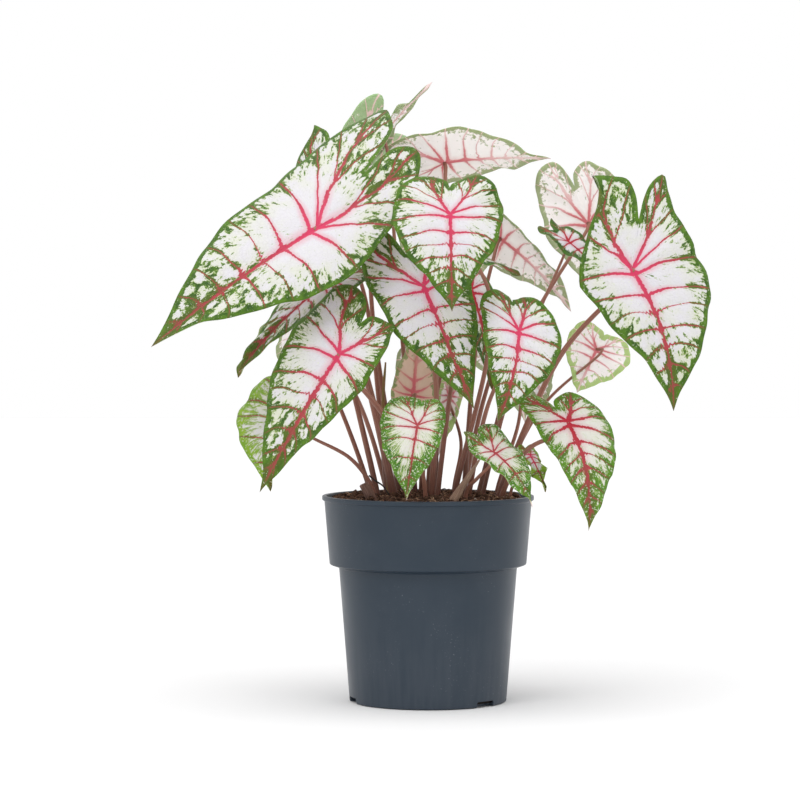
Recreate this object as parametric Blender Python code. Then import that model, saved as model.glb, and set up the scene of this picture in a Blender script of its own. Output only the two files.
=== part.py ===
# A caladium in its nursery pot: the pot, the soil, the leaves on their stalks, and the dry bits.
# Sizes below are millimetres, and MM turns them into metres. The pot stands on z = 0, with its axis on z.
import math
import random

import bpy
from mathutils import Vector

MM = 0.001

# Pot
POT_HEIGHT = 165.0
RIM_RADIUS = 85.0
COLLAR_RADIUS = 79.0
COLLAR_DROP = 55.0
STEP_RADIUS = 71.5
BASE_RADIUS = 63.0
FLOOR = 2.0
WALL = 1.6
LIP_DROP = 4.0
LIP_OUT = 1.8
POT_SIDES = 48
NOTCHES = 3
FIRST_NOTCH = 76.0
NOTCH_WIDTH = 19.0
NOTCH_HEIGHT = 4.5
NOTCH_DEPTH = 6.0

# Soil
SOIL_TOP = 157.0
SOIL_GAP = 0.3
SOIL_RINGS = 6
SOIL_SIDES = 40
SOIL_MOUND = 1.6
SOIL_CROWN = 2.5
CROWN_SPREAD = 1800.0
SOIL_FADE = 12.0
SOIL_CORNER = 1.8
HOLE_DEPTH = 22.0
HOLE_GAP = 0.35
HOLE_CLEAR = 7.0

# Blades
CURVE_STEPS = 16
BLADE_THICKNESS = 0.8
SIDE_POINTS = 12
RINGS = 3
STALK_SIDES = 6
STALK_STEPS = 8
STALK_THIN = 1.1
STALK_GROWTH = 0.0155
STALK_TAPER = 0.55
STALK_RISE = 12.0
STALK_LEAN = 0.15
UNDER_BLADE = 9.0
UNDER_DROP = 5.0
JOINT_GAP = 1.2
JOINT_RADIUS = 2.4

# How a blade is bent where its own line says nothing: degrees, and millimetres for the wave.
USUAL_SAG = 20
USUAL_BACK = 10
USUAL_FOLD = 10
USUAL_CURL = 34
USUAL_WAVE = 2.2

# One side of a flat blade as (along, across): along in units of the front length when positive
# and of the lobe's reach when negative, across in units of the half width.
SIDE_SHAPE = (
    (1.00, 0.00),
    (0.90, 0.10),
    (0.72, 0.36),
    (0.50, 0.66),
    (0.26, 0.90),
    (0.02, 1.00),
    (-0.42, 0.98),
    (-0.80, 0.84),
)
LOBE_END = 0.97
SHOULDER = (0.92, 0.42)
SINUS_WIDTH = 0.14

# Each leaf: where its stalk meets the blade, where its tip is, which way its upper face looks, its
# right and left sides as (half width, lobe reach, lobe offset, and the lobe's fullness where it isn't
# 1), the notch's depth, and the place of its stalk in the soil. The right side is on the right of
# someone who faces the blade with the tip down.
LEAVES = {
    "leaf_01": dict(
        at=(-87, -75, 377), tip=(-215, -112, 286), face=(-0.2, -0.85, 0.5), sag=14, back=0,
        right=(54, 108, 20), left=(64, 124, 32), notch=62, lean=-19, foot=(-24, -18), via=(-52, -30, 270),
    ),
    "leaf_02": dict(
        at=(-52, 88, 418), tip=(-74, 98, 326), face=(-0.35, 0.95, 0.15),
        right=(38, 80, 14), left=(40, 50, 14), notch=30, foot=(-20, 26), via=(-44, 44, 300),
    ),
    "leaf_03": dict(
        at=(-86, 10, 408), tip=(-116, 6, 330), face=(-0.3, -0.8, 0.5),
        right=(30, 42, 16), left=(36, 58, 32), notch=26, foot=(-30, 6), via=(-50, 26, 320), lean=-12,
    ),
    "leaf_04": dict(
        at=(-40, 46, 450), tip=(6, 60, 500), face=(-0.6, 0.5, 0.7), back=0,
        right=(13, 22, 7), left=(13, 22, 7), notch=12, foot=(-8, 20), via=(-24, 28, 330),
    ),
    "leaf_05": dict(
        at=(14, 62, 434), tip=(101, 46, 434), face=(0.05, 0.6, 0.8),
        right=(32, 38, 20), left=(40, 46, 24), notch=26, fold=22, foot=(6, 18), via=(8, 36, 320),
    ),
    "leaf_06": dict(
        at=(131, 45, 384), tip=(158, 60, 306), face=(0.3, 0.8, 0.5), sag=12, back=0,
        right=(38, 60, 14), left=(44, 52, 14), notch=34, foot=(36, 20), via=(78, 34, 290),
    ),
    "leaf_07": dict(
        at=(159, -60, 345), tip=(191, -78, 234), face=(0.1, -0.9, 0.35), sag=12, back=4, bow=8,
        right=(60, 72, 16, 0.5), left=(46, 86, 46), notch=38, lean=25, foot=(50, -8), via=(104, -14, 275),
    ),
    "leaf_08": dict(
        at=(16, -108, 387), tip=(17, -132, 311), face=(0.0, -0.8, 0.6), back=20,
        right=(43, 38, 16), left=(47, 38, 16), notch=26, foot=(16, -24), via=(50, -56, 310),
    ),
    "leaf_09": dict(
        at=(-4, -72, 332), tip=(35, -96, 236), face=(-0.1, -0.85, 0.45), back=14,
        right=(38, 54, 18), left=(40, 74, 30), notch=32, lean=-4, foot=(2, -30), via=(6, -54, 250),
    ),
    "leaf_10": dict(
        at=(-69, -95, 280), tip=(-130, -118, 173), face=(-0.2, -0.9, 0.35),
        right=(32, 46, 22), left=(48, 58, 22), notch=32, foot=(-14, -32), via=(-32, -60, 226),
    ),
    "leaf_11": dict(
        at=(-96, -44, 224), tip=(-124, -58, 170), face=(-0.3, -0.9, 0.3), bow=-10,
        right=(9, 10, 4), left=(62, 36, 24), notch=6, lean=-10, foot=(-40, -20), via=(-62, -28, 196),
    ),
    "leaf_12": dict(
        at=(-80, -16, 335), tip=(-150, -50, 264), face=(-0.3, -0.4, 0.85),
        right=(32, 32, 16), left=(32, 32, 16), notch=22, foot=(-38, -8), via=(-60, -12, 250),
    ),
    "leaf_13": dict(
        at=(-116, 52, 312), tip=(-156, 30, 258), face=(-0.8, 0.2, 0.5),
        right=(20, 24, 10), left=(20, 24, 10), notch=14, foot=(-42, 12), via=(-76, 32, 245),
    ),
    "leaf_14": dict(
        at=(69, -104, 298), tip=(51, -122, 227), face=(0.05, -0.9, 0.4), bow=4,
        right=(36, 30, 10), left=(30, 32, 8), notch=24, foot=(30, -26), via=(46, -60, 238), lean=-24,
    ),
    "leaf_15": dict(
        at=(108, -72, 227), tip=(123, -98, 142), face=(0.2, -0.9, 0.35), bow=6,
        right=(36, 24, 16), left=(27, 30, 12), notch=14, foot=(56, -24), via=(78, -50, 204), lean=-26,
    ),
    "leaf_16": dict(
        at=(-9, -98, 225), tip=(-18, -113, 167), face=(-0.05, -0.9, 0.4),
        right=(22, 25, 8), left=(31, 25, 8), notch=20, foot=(-2, -46), via=(-6, -66, 196),
    ),
    "leaf_17": dict(
        at=(50, -90, 204), tip=(79, -102, 160), face=(0.25, -0.75, 0.6), bow=4,
        right=(22, 27, 9), left=(15, 27, 10), notch=16, foot=(28, -46), via=(38, -62, 182),
    ),
    "leaf_18": dict(
        at=(-12, -34, 246), tip=(-6, -24, 306), face=(0.0, 0.85, 0.5),
        right=(19, 14, 8), left=(19, 14, 8), notch=6, foot=(-18, -6), via=(-22, -12, 205),
    ),
    "leaf_19": dict(
        at=(18, 20, 244), tip=(8, 4, 196), face=(0.2, 0.85, 0.4),
        right=(11, 16, 7), left=(11, 16, 7), notch=8, foot=(20, 12), via=(27, 28, 206),
    ),
    "leaf_20": dict(
        at=(60, 62, 372), tip=(120, 48, 312), face=(0.35, 0.6, 0.7),
        right=(32, 40, 14), left=(30, 40, 14), notch=22, foot=(28, 26), via=(40, 46, 290),
    ),
    "leaf_21": dict(
        at=(112, -4, 368), tip=(146, -14, 330), face=(0.3, -0.5, 0.8),
        right=(18, 26, 10), left=(18, 26, 10), notch=16, fold=20, foot=(40, 2), via=(72, 0, 270),
    ),
    "leaf_22": dict(
        at=(136, 14, 282), tip=(119, 2, 246), face=(0.15, 0.8, 0.5),
        right=(28, 18, 12), left=(30, 17, 12), notch=13, foot=(52, 10), via=(92, 16, 235),
    ),
    "leaf_23": dict(
        at=(34, 26, 356), tip=(76, 22, 340), face=(0.1, -0.1, 0.95),
        right=(20, 20, 12), left=(20, 20, 12), notch=12, foot=(-2, 4), via=(8, 6, 250),
    ),
    "leaf_24": dict(
        at=(34, -22, 330), tip=(52, -34, 248), face=(0.5, -0.7, 0.5),
        right=(24, 34, 14), left=(24, 34, 14), notch=18, foot=(6, -12), via=(18, -14, 250),
    ),
    "leaf_25": dict(
        at=(16, 106, 372), tip=(22, 170, 300), face=(0.05, 0.65, 0.75),
        right=(42, 50, 20), left=(42, 50, 20), notch=32, foot=(-6, 38), via=(2, 54, 290),
    ),
    "leaf_26": dict(
        at=(81, -22, 198), tip=(93, -36, 168), face=(0.5, -0.6, 0.6),
        right=(11, 11, 5), left=(11, 11, 5), notch=6, foot=(65, -13), via=(73, -16, 180),
    ),
    "leaf_27": dict(
        at=(62, 96, 292), tip=(84, 150, 216), face=(0.3, 0.65, 0.65),
        right=(40, 48, 18), left=(40, 48, 18), notch=30, foot=(28, 42), via=(44, 70, 230),
    ),
    "leaf_28": dict(
        at=(-94, 148, 302), tip=(-116, 184, 236), face=(-0.4, 0.65, 0.6),
        right=(38, 40, 18), left=(38, 40, 18), notch=26, foot=(-30, 30), via=(-56, 80, 236),
    ),
    "leaf_29": dict(
        at=(2, 88, 262), tip=(4, 124, 192), face=(0.0, 0.85, 0.45),
        right=(30, 34, 14), left=(30, 34, 14), notch=22, foot=(2, 50), via=(4, 72, 205),
    ),
    "leaf_30": dict(
        at=(82, 62, 276), tip=(98, 94, 228), face=(0.45, 0.65, 0.55),
        right=(24, 26, 12), left=(24, 26, 12), notch=18, foot=(54, 30), via=(74, 46, 220),
    ),
}

# Dry pieces
ROD_STEPS = 8
THINNEST_ROD = 0.5
STUB_PATH = ((-35, -46, 140), (-42, -48, 158), (-51, -50, 177))
STUB_RADII = (5.0, 4.8, 4.0)
SHEATH_PATH = ((2, -62, 140), (16, -58, 158), (28, -54, 178), (40, -52, 196))
SHEATH_RADII = (1.6, 4.2, 2.4, 0.8)
BUD_PATH = ((-28, -6, 140), (-32, -8, 190), (-36, -12, 236), (-34, -16, 272))
BUD_RADII = (2.0, 2.2, 3.2, 0.7)


def clear_scene():
    for item in list(bpy.data.objects):
        bpy.data.objects.remove(item)


def make_material(name, colour, roughness, metallic=0.0):
    material = bpy.data.materials.new(name)
    material.use_nodes = True
    shader = material.node_tree.nodes["Principled BSDF"]
    shader.inputs["Base Color"].default_value = (*colour, 1.0)
    shader.inputs["Roughness"].default_value = roughness
    shader.inputs["Metallic"].default_value = metallic
    return material


def make_object(name, points, faces, material):
    """An object from points in millimetres and faces, in metres, with its normals out."""
    mesh = bpy.data.meshes.new(name)
    mesh.from_pydata([tuple(MM * c for c in p) for p in points], [], faces)
    mesh.materials.append(material)
    mesh.shade_smooth()
    made = bpy.data.objects.new(name, mesh)
    bpy.context.scene.collection.objects.link(made)
    return made


def turned(profile, sides):
    """Points and faces of a closed profile of (radius, height) turned round z."""
    points = []
    faces = []
    rows = []
    for radius, height in profile:
        if radius == 0:
            rows.append([len(points)] * sides)
            points.append((0, 0, height))
            continue
        rows.append(list(range(len(points), len(points) + sides)))
        for k in range(sides):
            turn = 2 * math.pi * k / sides
            points.append((radius * math.cos(turn), radius * math.sin(turn), height))
    for lower, upper in zip(rows, rows[1:]):
        for k in range(sides):
            after = (k + 1) % sides
            corners = (lower[k], lower[after], upper[after], upper[k])
            faces.append(tuple(dict.fromkeys(corners)))
    return points, faces


def outer_radius(height):
    """The pot's outside radius at this height."""
    step = POT_HEIGHT - COLLAR_DROP
    if height >= step:
        return COLLAR_RADIUS + (RIM_RADIUS - LIP_OUT - COLLAR_RADIUS) * (height - step) / COLLAR_DROP
    return BASE_RADIUS + (STEP_RADIUS - BASE_RADIUS) * height / step


def inner_radius(height):
    """The pot's inside radius at this height."""
    return outer_radius(height) - WALL


def pot_profile():
    step = POT_HEIGHT - COLLAR_DROP
    lip = POT_HEIGHT - LIP_DROP
    collar_in = COLLAR_RADIUS - WALL
    return [
        (0, 0.0),
        (BASE_RADIUS - 0.8, 0.0),
        (BASE_RADIUS, 0.8),
        (STEP_RADIUS, step - 3.0),
        (COLLAR_RADIUS - 0.6, step - 0.6),
        (COLLAR_RADIUS, step),
        (outer_radius(lip), lip),
        (RIM_RADIUS - 0.5, lip + 0.4),
        (RIM_RADIUS, lip + 1.4),
        (RIM_RADIUS, POT_HEIGHT - 1.0),
        (RIM_RADIUS - 0.7, POT_HEIGHT),
        (inner_radius(POT_HEIGHT) + 0.5, POT_HEIGHT),
        (inner_radius(POT_HEIGHT), POT_HEIGHT - 0.7),
        (collar_in, step + 1.5),
        (STEP_RADIUS - WALL, step - 2.0),
        (BASE_RADIUS - WALL, FLOOR + 1.5),
        (BASE_RADIUS - WALL - 1.5, FLOOR),
        (0, FLOOR),
    ]


def make_cutter(name, turn):
    """A block that cuts one drain notch through the corner of the wall and floor."""
    bpy.ops.mesh.primitive_cube_add(size=1)
    cutter = bpy.context.object
    cutter.name = name
    cutter.scale = (MM * 2 * NOTCH_DEPTH, MM * NOTCH_WIDTH, MM * 2 * NOTCH_HEIGHT)
    cutter.rotation_euler = (0, 0, turn)
    cutter.location = (MM * BASE_RADIUS * math.cos(turn), MM * BASE_RADIUS * math.sin(turn), 0)
    cutter.hide_render = True
    cutter.display_type = "WIRE"
    return cutter


def make_pot():
    plastic = make_material("pot_plastic", (0.045, 0.062, 0.088), 0.42)
    points, faces = turned(pot_profile(), POT_SIDES)
    pot = make_object("pot", points, faces, plastic)
    for k in range(NOTCHES):
        cutter = make_cutter(f"notch_cutter_{k + 1}", math.radians(FIRST_NOTCH) + 2 * math.pi * k / NOTCHES)
        cut = pot.modifiers.new(f"notch_{k + 1}", "BOOLEAN")
        cut.operation = "DIFFERENCE"
        cut.object = cutter
    return pot


def mound(x, y):
    """The height of the soil above its mean level, in millimetres."""
    rolls = math.sin(x / 11.0 + 0.6) * math.cos(y / 9.0 - 0.4)
    lumps = math.sin(x / 4.7 - y / 6.1) * math.cos(y / 5.3 + x / 8.9)
    middle = SOIL_CROWN * math.exp(-(x * x + y * y) / CROWN_SPREAD)
    return SOIL_MOUND * (0.6 * rolls + 0.4 * lumps) + middle


def make_soil(stalks):
    """The filling of the pot, with a plain hole for each stalk."""
    peat = make_material("soil_peat", (0.16, 0.085, 0.045), 0.95)
    floor = FLOOR + SOIL_GAP
    step = POT_HEIGHT - COLLAR_DROP
    profile = [
        (0, floor),
        (BASE_RADIUS - WALL - SOIL_CORNER - SOIL_GAP, floor),
        (BASE_RADIUS - WALL - SOIL_GAP, floor + SOIL_CORNER),
        (STEP_RADIUS - WALL - SOIL_GAP, step - 2.0),
        (COLLAR_RADIUS - WALL - SOIL_GAP, step + 2.0),
        (inner_radius(SOIL_TOP) - SOIL_GAP, SOIL_TOP),
    ]
    edge = inner_radius(SOIL_TOP) - SOIL_GAP
    profile += [(edge * (1 - k / SOIL_RINGS), SOIL_TOP) for k in range(1, SOIL_RINGS)]
    profile.append((0, SOIL_TOP))
    points, faces = turned(profile, SOIL_SIDES)
    lifted = []
    for x, y, z in points:
        fade = min(1.0, (edge - math.hypot(x, y)) / SOIL_FADE)
        lifted.append((x, y, z + fade * mound(x, y)) if z >= SOIL_TOP - 0.01 else (x, y, z))
    soil = make_object("soil", lifted, faces, peat)
    holes = bpy.data.collections.new("stalk_holes")
    bpy.context.scene.collection.children.link(holes)
    for name, path, radii in stalks:
        grown = [r + HOLE_GAP for r in radii]
        route = [path[0] - (path[1] - path[0]).normalized() * HOLE_GAP] + list(path[1:])
        points, faces = tube(route, grown)
        cutter = make_object(f"hole_{name}", points, faces, peat)
        bpy.context.scene.collection.objects.unlink(cutter)
        holes.objects.link(cutter)
        cutter.hide_render = True
        cutter.display_type = "WIRE"
    cut = soil.modifiers.new("stalk_holes", "BOOLEAN")
    cut.operation = "DIFFERENCE"
    cut.operand_type = "COLLECTION"
    cut.collection = holes
    return soil


def smooth_curve(points, count):
    """count points on a Catmull-Rom curve through these points, ends included, evenly spread."""
    dense = []
    ends = [2 * points[0] - points[1], *points, 2 * points[-1] - points[-2]]
    for k in range(1, len(ends) - 2):
        a, b, c, d = ends[k - 1 : k + 3]
        for j in range(CURVE_STEPS):
            t = j / CURVE_STEPS
            dense.append(
                0.5 * ((2 * b) + (c - a) * t + (2 * a - 5 * b + 4 * c - d) * t * t
                       + (3 * b - a - 3 * c + d) * t * t * t)
            )
    dense.append(points[-1])
    reach = [0.0]
    for p, q in zip(dense, dense[1:]):
        reach.append(reach[-1] + (q - p).length)
    spread = []
    j = 0
    for k in range(count):
        goal = reach[-1] * k / (count - 1)
        while j < len(reach) - 2 and reach[j + 1] < goal:
            j += 1
        part = (goal - reach[j]) / (reach[j + 1] - reach[j])
        spread.append(dense[j].lerp(dense[j + 1], part))
    return spread


def tube_rings(path, radii, sides, start):
    """Rings of points round a path, the first turned to face along start."""
    rings = []
    side = start
    for k, here in enumerate(path):
        before = path[max(k - 1, 0)]
        after = path[min(k + 1, len(path) - 1)]
        along = (after - before).normalized()
        side = (side - along * side.dot(along)).normalized()
        across = along.cross(side)
        turns = [2 * math.pi * j / sides for j in range(sides)]
        rings.append([here + radii[k] * (side * math.cos(t) + across * math.sin(t)) for t in turns])
    return rings


def tube(path, radii, sides=STALK_SIDES):
    """Points and faces of a closed tube along a path."""
    path = [Vector(p) for p in path]
    along = path[1] - path[0]
    start = along.orthogonal().normalized()
    rings = tube_rings(path, radii, sides, start)
    points = [p for ring in rings for p in ring]
    faces = []
    for k in range(len(rings) - 1):
        for j in range(sides):
            after = (j + 1) % sides
            low, high = k * sides, (k + 1) * sides
            faces.append((low + j, low + after, high + after, high + j))
    faces.append(tuple(reversed(range(sides))))
    faces.append(tuple(range(len(points) - sides, len(points))))
    return points, faces


def blade_side(length, side, notch):
    """One side of the flat blade from the tip to the notch, as points (along, across, 0)."""
    half_width, reach, offset, lobe = (*side, 1.0)[:4]
    shape = []
    for along, across in SIDE_SHAPE:
        if along > 0:
            shape.append(Vector((along * length, across * half_width, 0)))
        else:
            fullness = lobe + (1 - lobe) * (1 + along) ** 2
            shape.append(Vector((along * reach, across * half_width * fullness, 0)))
    shape.append(Vector((-LOBE_END * reach, 0.5 * (shape[-1].y + offset), 0)))
    shape.append(Vector((-reach, offset, 0)))
    shape.append(Vector((-SHOULDER[0] * reach, SHOULDER[1] * offset, 0)))
    shape.append(Vector((-0.5 * (reach + notch), SINUS_WIDTH * offset, 0)))
    shape.append(Vector((-notch, 0.0, 0)))
    return smooth_curve(shape, SIDE_POINTS)


def arc(length, first, last):
    """Where a path of this length ends that turns evenly from one angle to another: (level, rise)."""
    half = 0.5 * (last - first)
    reach = length * (math.sin(half) / half if abs(half) > 1e-6 else 1.0)
    mean = 0.5 * (first + last)
    return reach * math.cos(mean), reach * math.sin(mean)


class Blade:
    """The bent surface of one leaf: place() takes a flat point to its place in space."""

    def __init__(self, leaf, seed):
        self.at = Vector(leaf["at"])
        chord = Vector(leaf["tip"]) - self.at
        self.along = chord.normalized()
        face = Vector(leaf["face"])
        self.face = (face - self.along * face.dot(self.along)).normalized()
        self.across = self.face.cross(self.along)
        self.sag = math.radians(leaf.get("sag", USUAL_SAG))
        self.back = math.radians(leaf.get("back", USUAL_BACK))
        self.fold = math.radians(leaf.get("fold", USUAL_FOLD))
        self.curl = math.radians(leaf.get("curl", USUAL_CURL))
        self.lean = math.tan(math.radians(leaf.get("lean", 0)))
        self.bow = leaf.get("bow", 0.0)
        self.wave = leaf.get("wave", USUAL_WAVE)
        self.length = chord.length / arc(1.0, -0.5 * self.sag, 0.5 * self.sag)[0]
        self.right = leaf["right"]
        self.left = leaf["left"]
        self.notch = leaf["notch"]
        draw = random.Random(seed)
        self.phases = [draw.uniform(0, 2 * math.pi) for _ in range(4)]

    def outline(self):
        """Flat points round the blade, from the tip down the right side to the notch and back."""
        right = blade_side(self.length, self.right, self.notch)
        left = blade_side(self.length, self.left, self.notch)
        flipped = [Vector((p.x, -p.y, 0)) for p in reversed(left)]
        return right + flipped[1:-1]

    def place(self, flat, ring, turn):
        """Space for a flat point, with ring 0 at the stalk and 1 at the margin."""
        part = max(flat.x / self.length, 0.0)
        along, across = flat.x, flat.y - self.lean * min(flat.x, 0) + 4 * self.bow * part * (1 - part)
        first = -0.5 * self.sag
        if along >= 0:
            last = first + self.sag * along / self.length
            level, drop = arc(along, first, last)
        else:
            last = first - self.back * -along / max(self.right[1], self.left[1])
            level, drop = arc(-along, first, last)
            level, drop = -level, -drop
        middle = self.at + self.along * level - self.face * drop
        up = self.face * math.cos(last) + self.along * math.sin(last)
        half = self.right[0] if across > 0 else self.left[0]
        out, rise = arc(abs(across), self.fold, self.fold - self.curl * abs(across) / half)
        side = self.across if across > 0 else -self.across
        return middle + side * out + up * (rise + self.ripple(ring, turn))

    def ripple(self, ring, turn):
        """The height of the margin's waves."""
        a, b, c, d = self.phases
        waves = math.sin(5 * turn + a) + 0.7 * math.sin(8 * turn + b) + 0.4 * math.sin(13 * turn + c)
        return self.wave * ring**2.5 * waves * (0.75 + 0.25 * math.sin(turn + d))


def surface(blade):
    """Rings of points over the middle of the blade, from the stalk's joint to the margin."""
    outline = blade.outline()
    count = len(outline)
    rings = []
    for k in range(RINGS + 1):
        ring = k / RINGS
        row = []
        for j, edge in enumerate(outline):
            turn = 2 * math.pi * j / count
            joint = edge.normalized() * JOINT_RADIUS
            row.append(blade.place(joint.lerp(edge, ring), ring, turn))
        rings.append(row)
    return rings


def lifted_rows(rings, centre, offset):
    """The rows and their centre moved along the surface's own normal by this offset."""
    count = len(rings[0])
    normals = []
    for k, row in enumerate(rings):
        inner = rings[max(k - 1, 0)]
        outer = rings[min(k + 1, len(rings) - 1)]
        outward = [outer[j] - inner[j] for j in range(count)]
        onward = [row[(j + 1) % count] - row[j - 1] for j in range(count)]
        normals.append([out.cross(on).normalized() for out, on in zip(outward, onward)])
    middle = sum(normals[0], Vector()).normalized()
    rows = [[p + offset * n for p, n in zip(row, line)] for row, line in zip(rings, normals)]
    return rows, centre + offset * middle, middle


def stalk_path(leaf, blade, normal):
    """Points from the bottom of the stalk's hole to just under the blade."""
    foot_x, foot_y = leaf["foot"]
    foot = Vector((foot_x, foot_y, SOIL_TOP - HOLE_DEPTH))
    via = Vector(leaf["via"])
    lean_x, lean_y = STALK_LEAN * (via.x - foot_x), STALK_LEAN * (via.y - foot_y)
    lean_in = Vector((lean_x, lean_y, HOLE_DEPTH + STALK_RISE))
    joint = blade.at - normal * (0.5 * BLADE_THICKNESS + JOINT_GAP)
    below = blade.at - normal * UNDER_BLADE - Vector((0, 0, UNDER_DROP))
    return smooth_curve([foot, foot + lean_in, via, below, joint], STALK_STEPS + 1)


def stalk_radii(blade, count):
    """From the foot's radius, larger under a longer blade, to the top's."""
    foot = STALK_THIN + STALK_GROWTH * blade.length
    return [foot * (1 - (1 - STALK_TAPER) * k / (count - 1)) for k in range(count)]


def leaf_mesh(leaf, seed):
    """Points and faces of a blade and its stalk in one closed body, and the stalk's path."""
    blade = Blade(leaf, seed)
    rings = surface(blade)
    count = len(rings[0])
    centre = blade.place(Vector((0, 0, 0)), 0, 0)
    top, top_centre, normal = lifted_rows(rings, centre, 0.5 * BLADE_THICKNESS)
    low, _, _ = lifted_rows(rings, centre, -0.5 * BLADE_THICKNESS)
    points = [p for row in top for p in row] + [p for row in low for p in row] + [top_centre]
    base = len(rings) * count
    hub = 2 * base
    faces = []
    for k in range(RINGS):
        for j in range(count):
            after = (j + 1) % count
            a, b = k * count + j, k * count + after
            c, d = a + count, b + count
            split = ((a, c, d), (a, d, b)) if j < count // 2 else ((a, c, b), (b, c, d))
            for corners in split:
                faces.append(corners)
                faces.append(tuple(base + i for i in reversed(corners)))
    for j in range(count):
        after = (j + 1) % count
        outer = RINGS * count
        faces.append((hub, j, after))
        faces.append((outer + j, base + outer + j, base + outer + after))
        faces.append((outer + j, base + outer + after, outer + after))
    path = stalk_path(leaf, blade, normal)
    radii = stalk_radii(blade, len(path))
    stalk_points, stalk_faces = tube(path, radii)
    first = len(points)
    points += stalk_points
    faces += [tuple(first + i for i in face) for face in stalk_faces[:-1]]
    join_rings(faces, base, count, len(points) - STALK_SIDES, points)
    return points, faces, path, radii


def join_rings(faces, outer, count, inner, points):
    """Triangles between the blade's opening underneath and the top ring of the stalk."""
    start = min(range(STALK_SIDES), key=lambda k: (points[outer] - points[inner + k]).length)
    steps = [round(j * STALK_SIDES / count) for j in range(count + 1)]
    for j in range(count):
        after = (j + 1) % count
        here = (start + steps[j]) % STALK_SIDES
        faces.append((outer + after, outer + j, inner + here))
        if steps[j + 1] > steps[j]:
            following = (here + 1) % STALK_SIDES
            faces.append((inner + here, inner + following, outer + after))


def buried(path, radii):
    """The part of a stalk that the soil has to leave room for."""
    clear = SOIL_TOP + HOLE_CLEAR
    count = next((k for k, p in enumerate(path) if p.z > clear), len(path) - 1) + 1
    return path[:count], radii[:count]


def make_leaves():
    """All the leaves; returns what the soil needs to know of each stalk."""
    green = make_material("leaf_green", (0.42, 0.55, 0.36), 0.45)
    stalks = []
    for seed, (name, leaf) in enumerate(LEAVES.items()):
        points, faces, path, radii = leaf_mesh(leaf, seed)
        make_object(name, points, faces, green)
        stalks.append((name, *buried(path, radii)))
    return stalks


def make_rod(name, path, radii, material):
    """A closed tapering rod through these points; returns what the soil needs of it."""
    route = smooth_curve([Vector(p) for p in path], ROD_STEPS)
    thick = smooth_curve([Vector((r, 0, 0)) for r in radii], ROD_STEPS)
    widths = [max(v.x, THINNEST_ROD) for v in thick]
    points, faces = tube(route, widths)
    make_object(name, points, faces, material)
    return name, *buried(route, widths)


def make_dry_pieces():
    bark = make_material("dry_brown", (0.2, 0.12, 0.08), 0.85)
    paper = make_material("dry_paper", (0.36, 0.26, 0.2), 0.8)
    young = make_material("young_leaf", (0.35, 0.22, 0.14), 0.6)
    return [
        make_rod("cut_stub", STUB_PATH, STUB_RADII, bark),
        make_rod("dry_sheath", SHEATH_PATH, SHEATH_RADII, paper),
        make_rod("young_rolled_leaf", BUD_PATH, BUD_RADII, young),
    ]


clear_scene()
make_pot()
all_stalks = make_leaves() + make_dry_pieces()
make_soil(all_stalks)
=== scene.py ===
# %% [markdown]
# # A caladium in its nursery pot
# This lesson dresses a finished solid model. The solids give every piece its size and place, and the
# cells below replace them one by one with finer meshes and give each a finish made of shader nodes.
# The frame is loaded first, and nothing in it is moved.

# %% Load the frame
import math
import random

import bmesh
import bpy
import numpy as np
from mathutils import Matrix, Vector, noise


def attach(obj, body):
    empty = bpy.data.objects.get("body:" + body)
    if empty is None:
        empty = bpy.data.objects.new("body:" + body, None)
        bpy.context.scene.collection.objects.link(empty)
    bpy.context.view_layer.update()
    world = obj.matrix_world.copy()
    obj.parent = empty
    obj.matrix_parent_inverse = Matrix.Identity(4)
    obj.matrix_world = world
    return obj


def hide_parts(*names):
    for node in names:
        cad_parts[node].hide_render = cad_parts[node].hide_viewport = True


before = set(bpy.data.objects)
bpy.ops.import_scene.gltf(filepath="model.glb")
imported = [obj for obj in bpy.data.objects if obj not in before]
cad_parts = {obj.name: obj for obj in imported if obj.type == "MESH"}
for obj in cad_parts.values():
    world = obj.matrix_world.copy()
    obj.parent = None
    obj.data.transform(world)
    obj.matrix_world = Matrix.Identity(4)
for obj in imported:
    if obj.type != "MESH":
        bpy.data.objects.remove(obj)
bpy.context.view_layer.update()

MM = 0.001
FULL_TURN = 2 * math.pi
TINY = 1e-6
print("solids in the frame:", len(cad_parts))

# %% [markdown]
# ## Small helpers
# Most steps end alike. A piece is linked, given its finishes, hung under the root and shaded smooth,
# and the solid that it stands for is hidden. Points are worked out in millimetres, as a gardener would
# measure them, and turned into metres as the mesh is made.

# %% Helpers for pieces
def deselect_all():
    if bpy.context.object and bpy.context.object.mode != "OBJECT":
        bpy.ops.object.mode_set(mode="OBJECT")
    bpy.ops.object.select_all(action="DESELECT")


def select_only(piece):
    deselect_all()
    piece.select_set(True)
    bpy.context.view_layer.objects.active = piece


def linked_object(name, data):
    """A new object with this data, at the origin of the scene."""
    made = bpy.data.objects.new(name, data)
    bpy.context.scene.collection.objects.link(made)
    return made


def finish_piece(piece, node, slot, *materials):
    """Give the piece its finishes, hang it under the root and hide the solid that it stands for."""
    for material in materials:
        piece.data.materials.append(material)
    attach(piece, "root")
    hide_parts(node)


def mesh_object(name, points, faces):
    """An object from points in millimetres and faces, in metres."""
    mesh = bpy.data.meshes.new(name)
    mesh.from_pydata([tuple(MM * c for c in p) for p in points], [], faces)
    mesh.shade_smooth()
    return linked_object(name, mesh)


print("one millimetre in the scene:", MM, "m")

# %% [markdown]
# ## Helpers for shader nodes
# A finish is a small graph: coordinates feed a noise, the noise is stretched into a mask, and the mask
# mixes two colours. Each helper adds one such step and returns its output, so that a material reads
# from top to bottom like a recipe. A noise seldom leaves the span from 0.3 to 0.7, so most masks are
# stretched from that span, or from a tighter one where the border should be crisper.

# %% Helpers for finishes
NOISE_SPAN = (0.3, 0.7)
TIGHT_SPAN = (0.35, 0.65)


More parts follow.
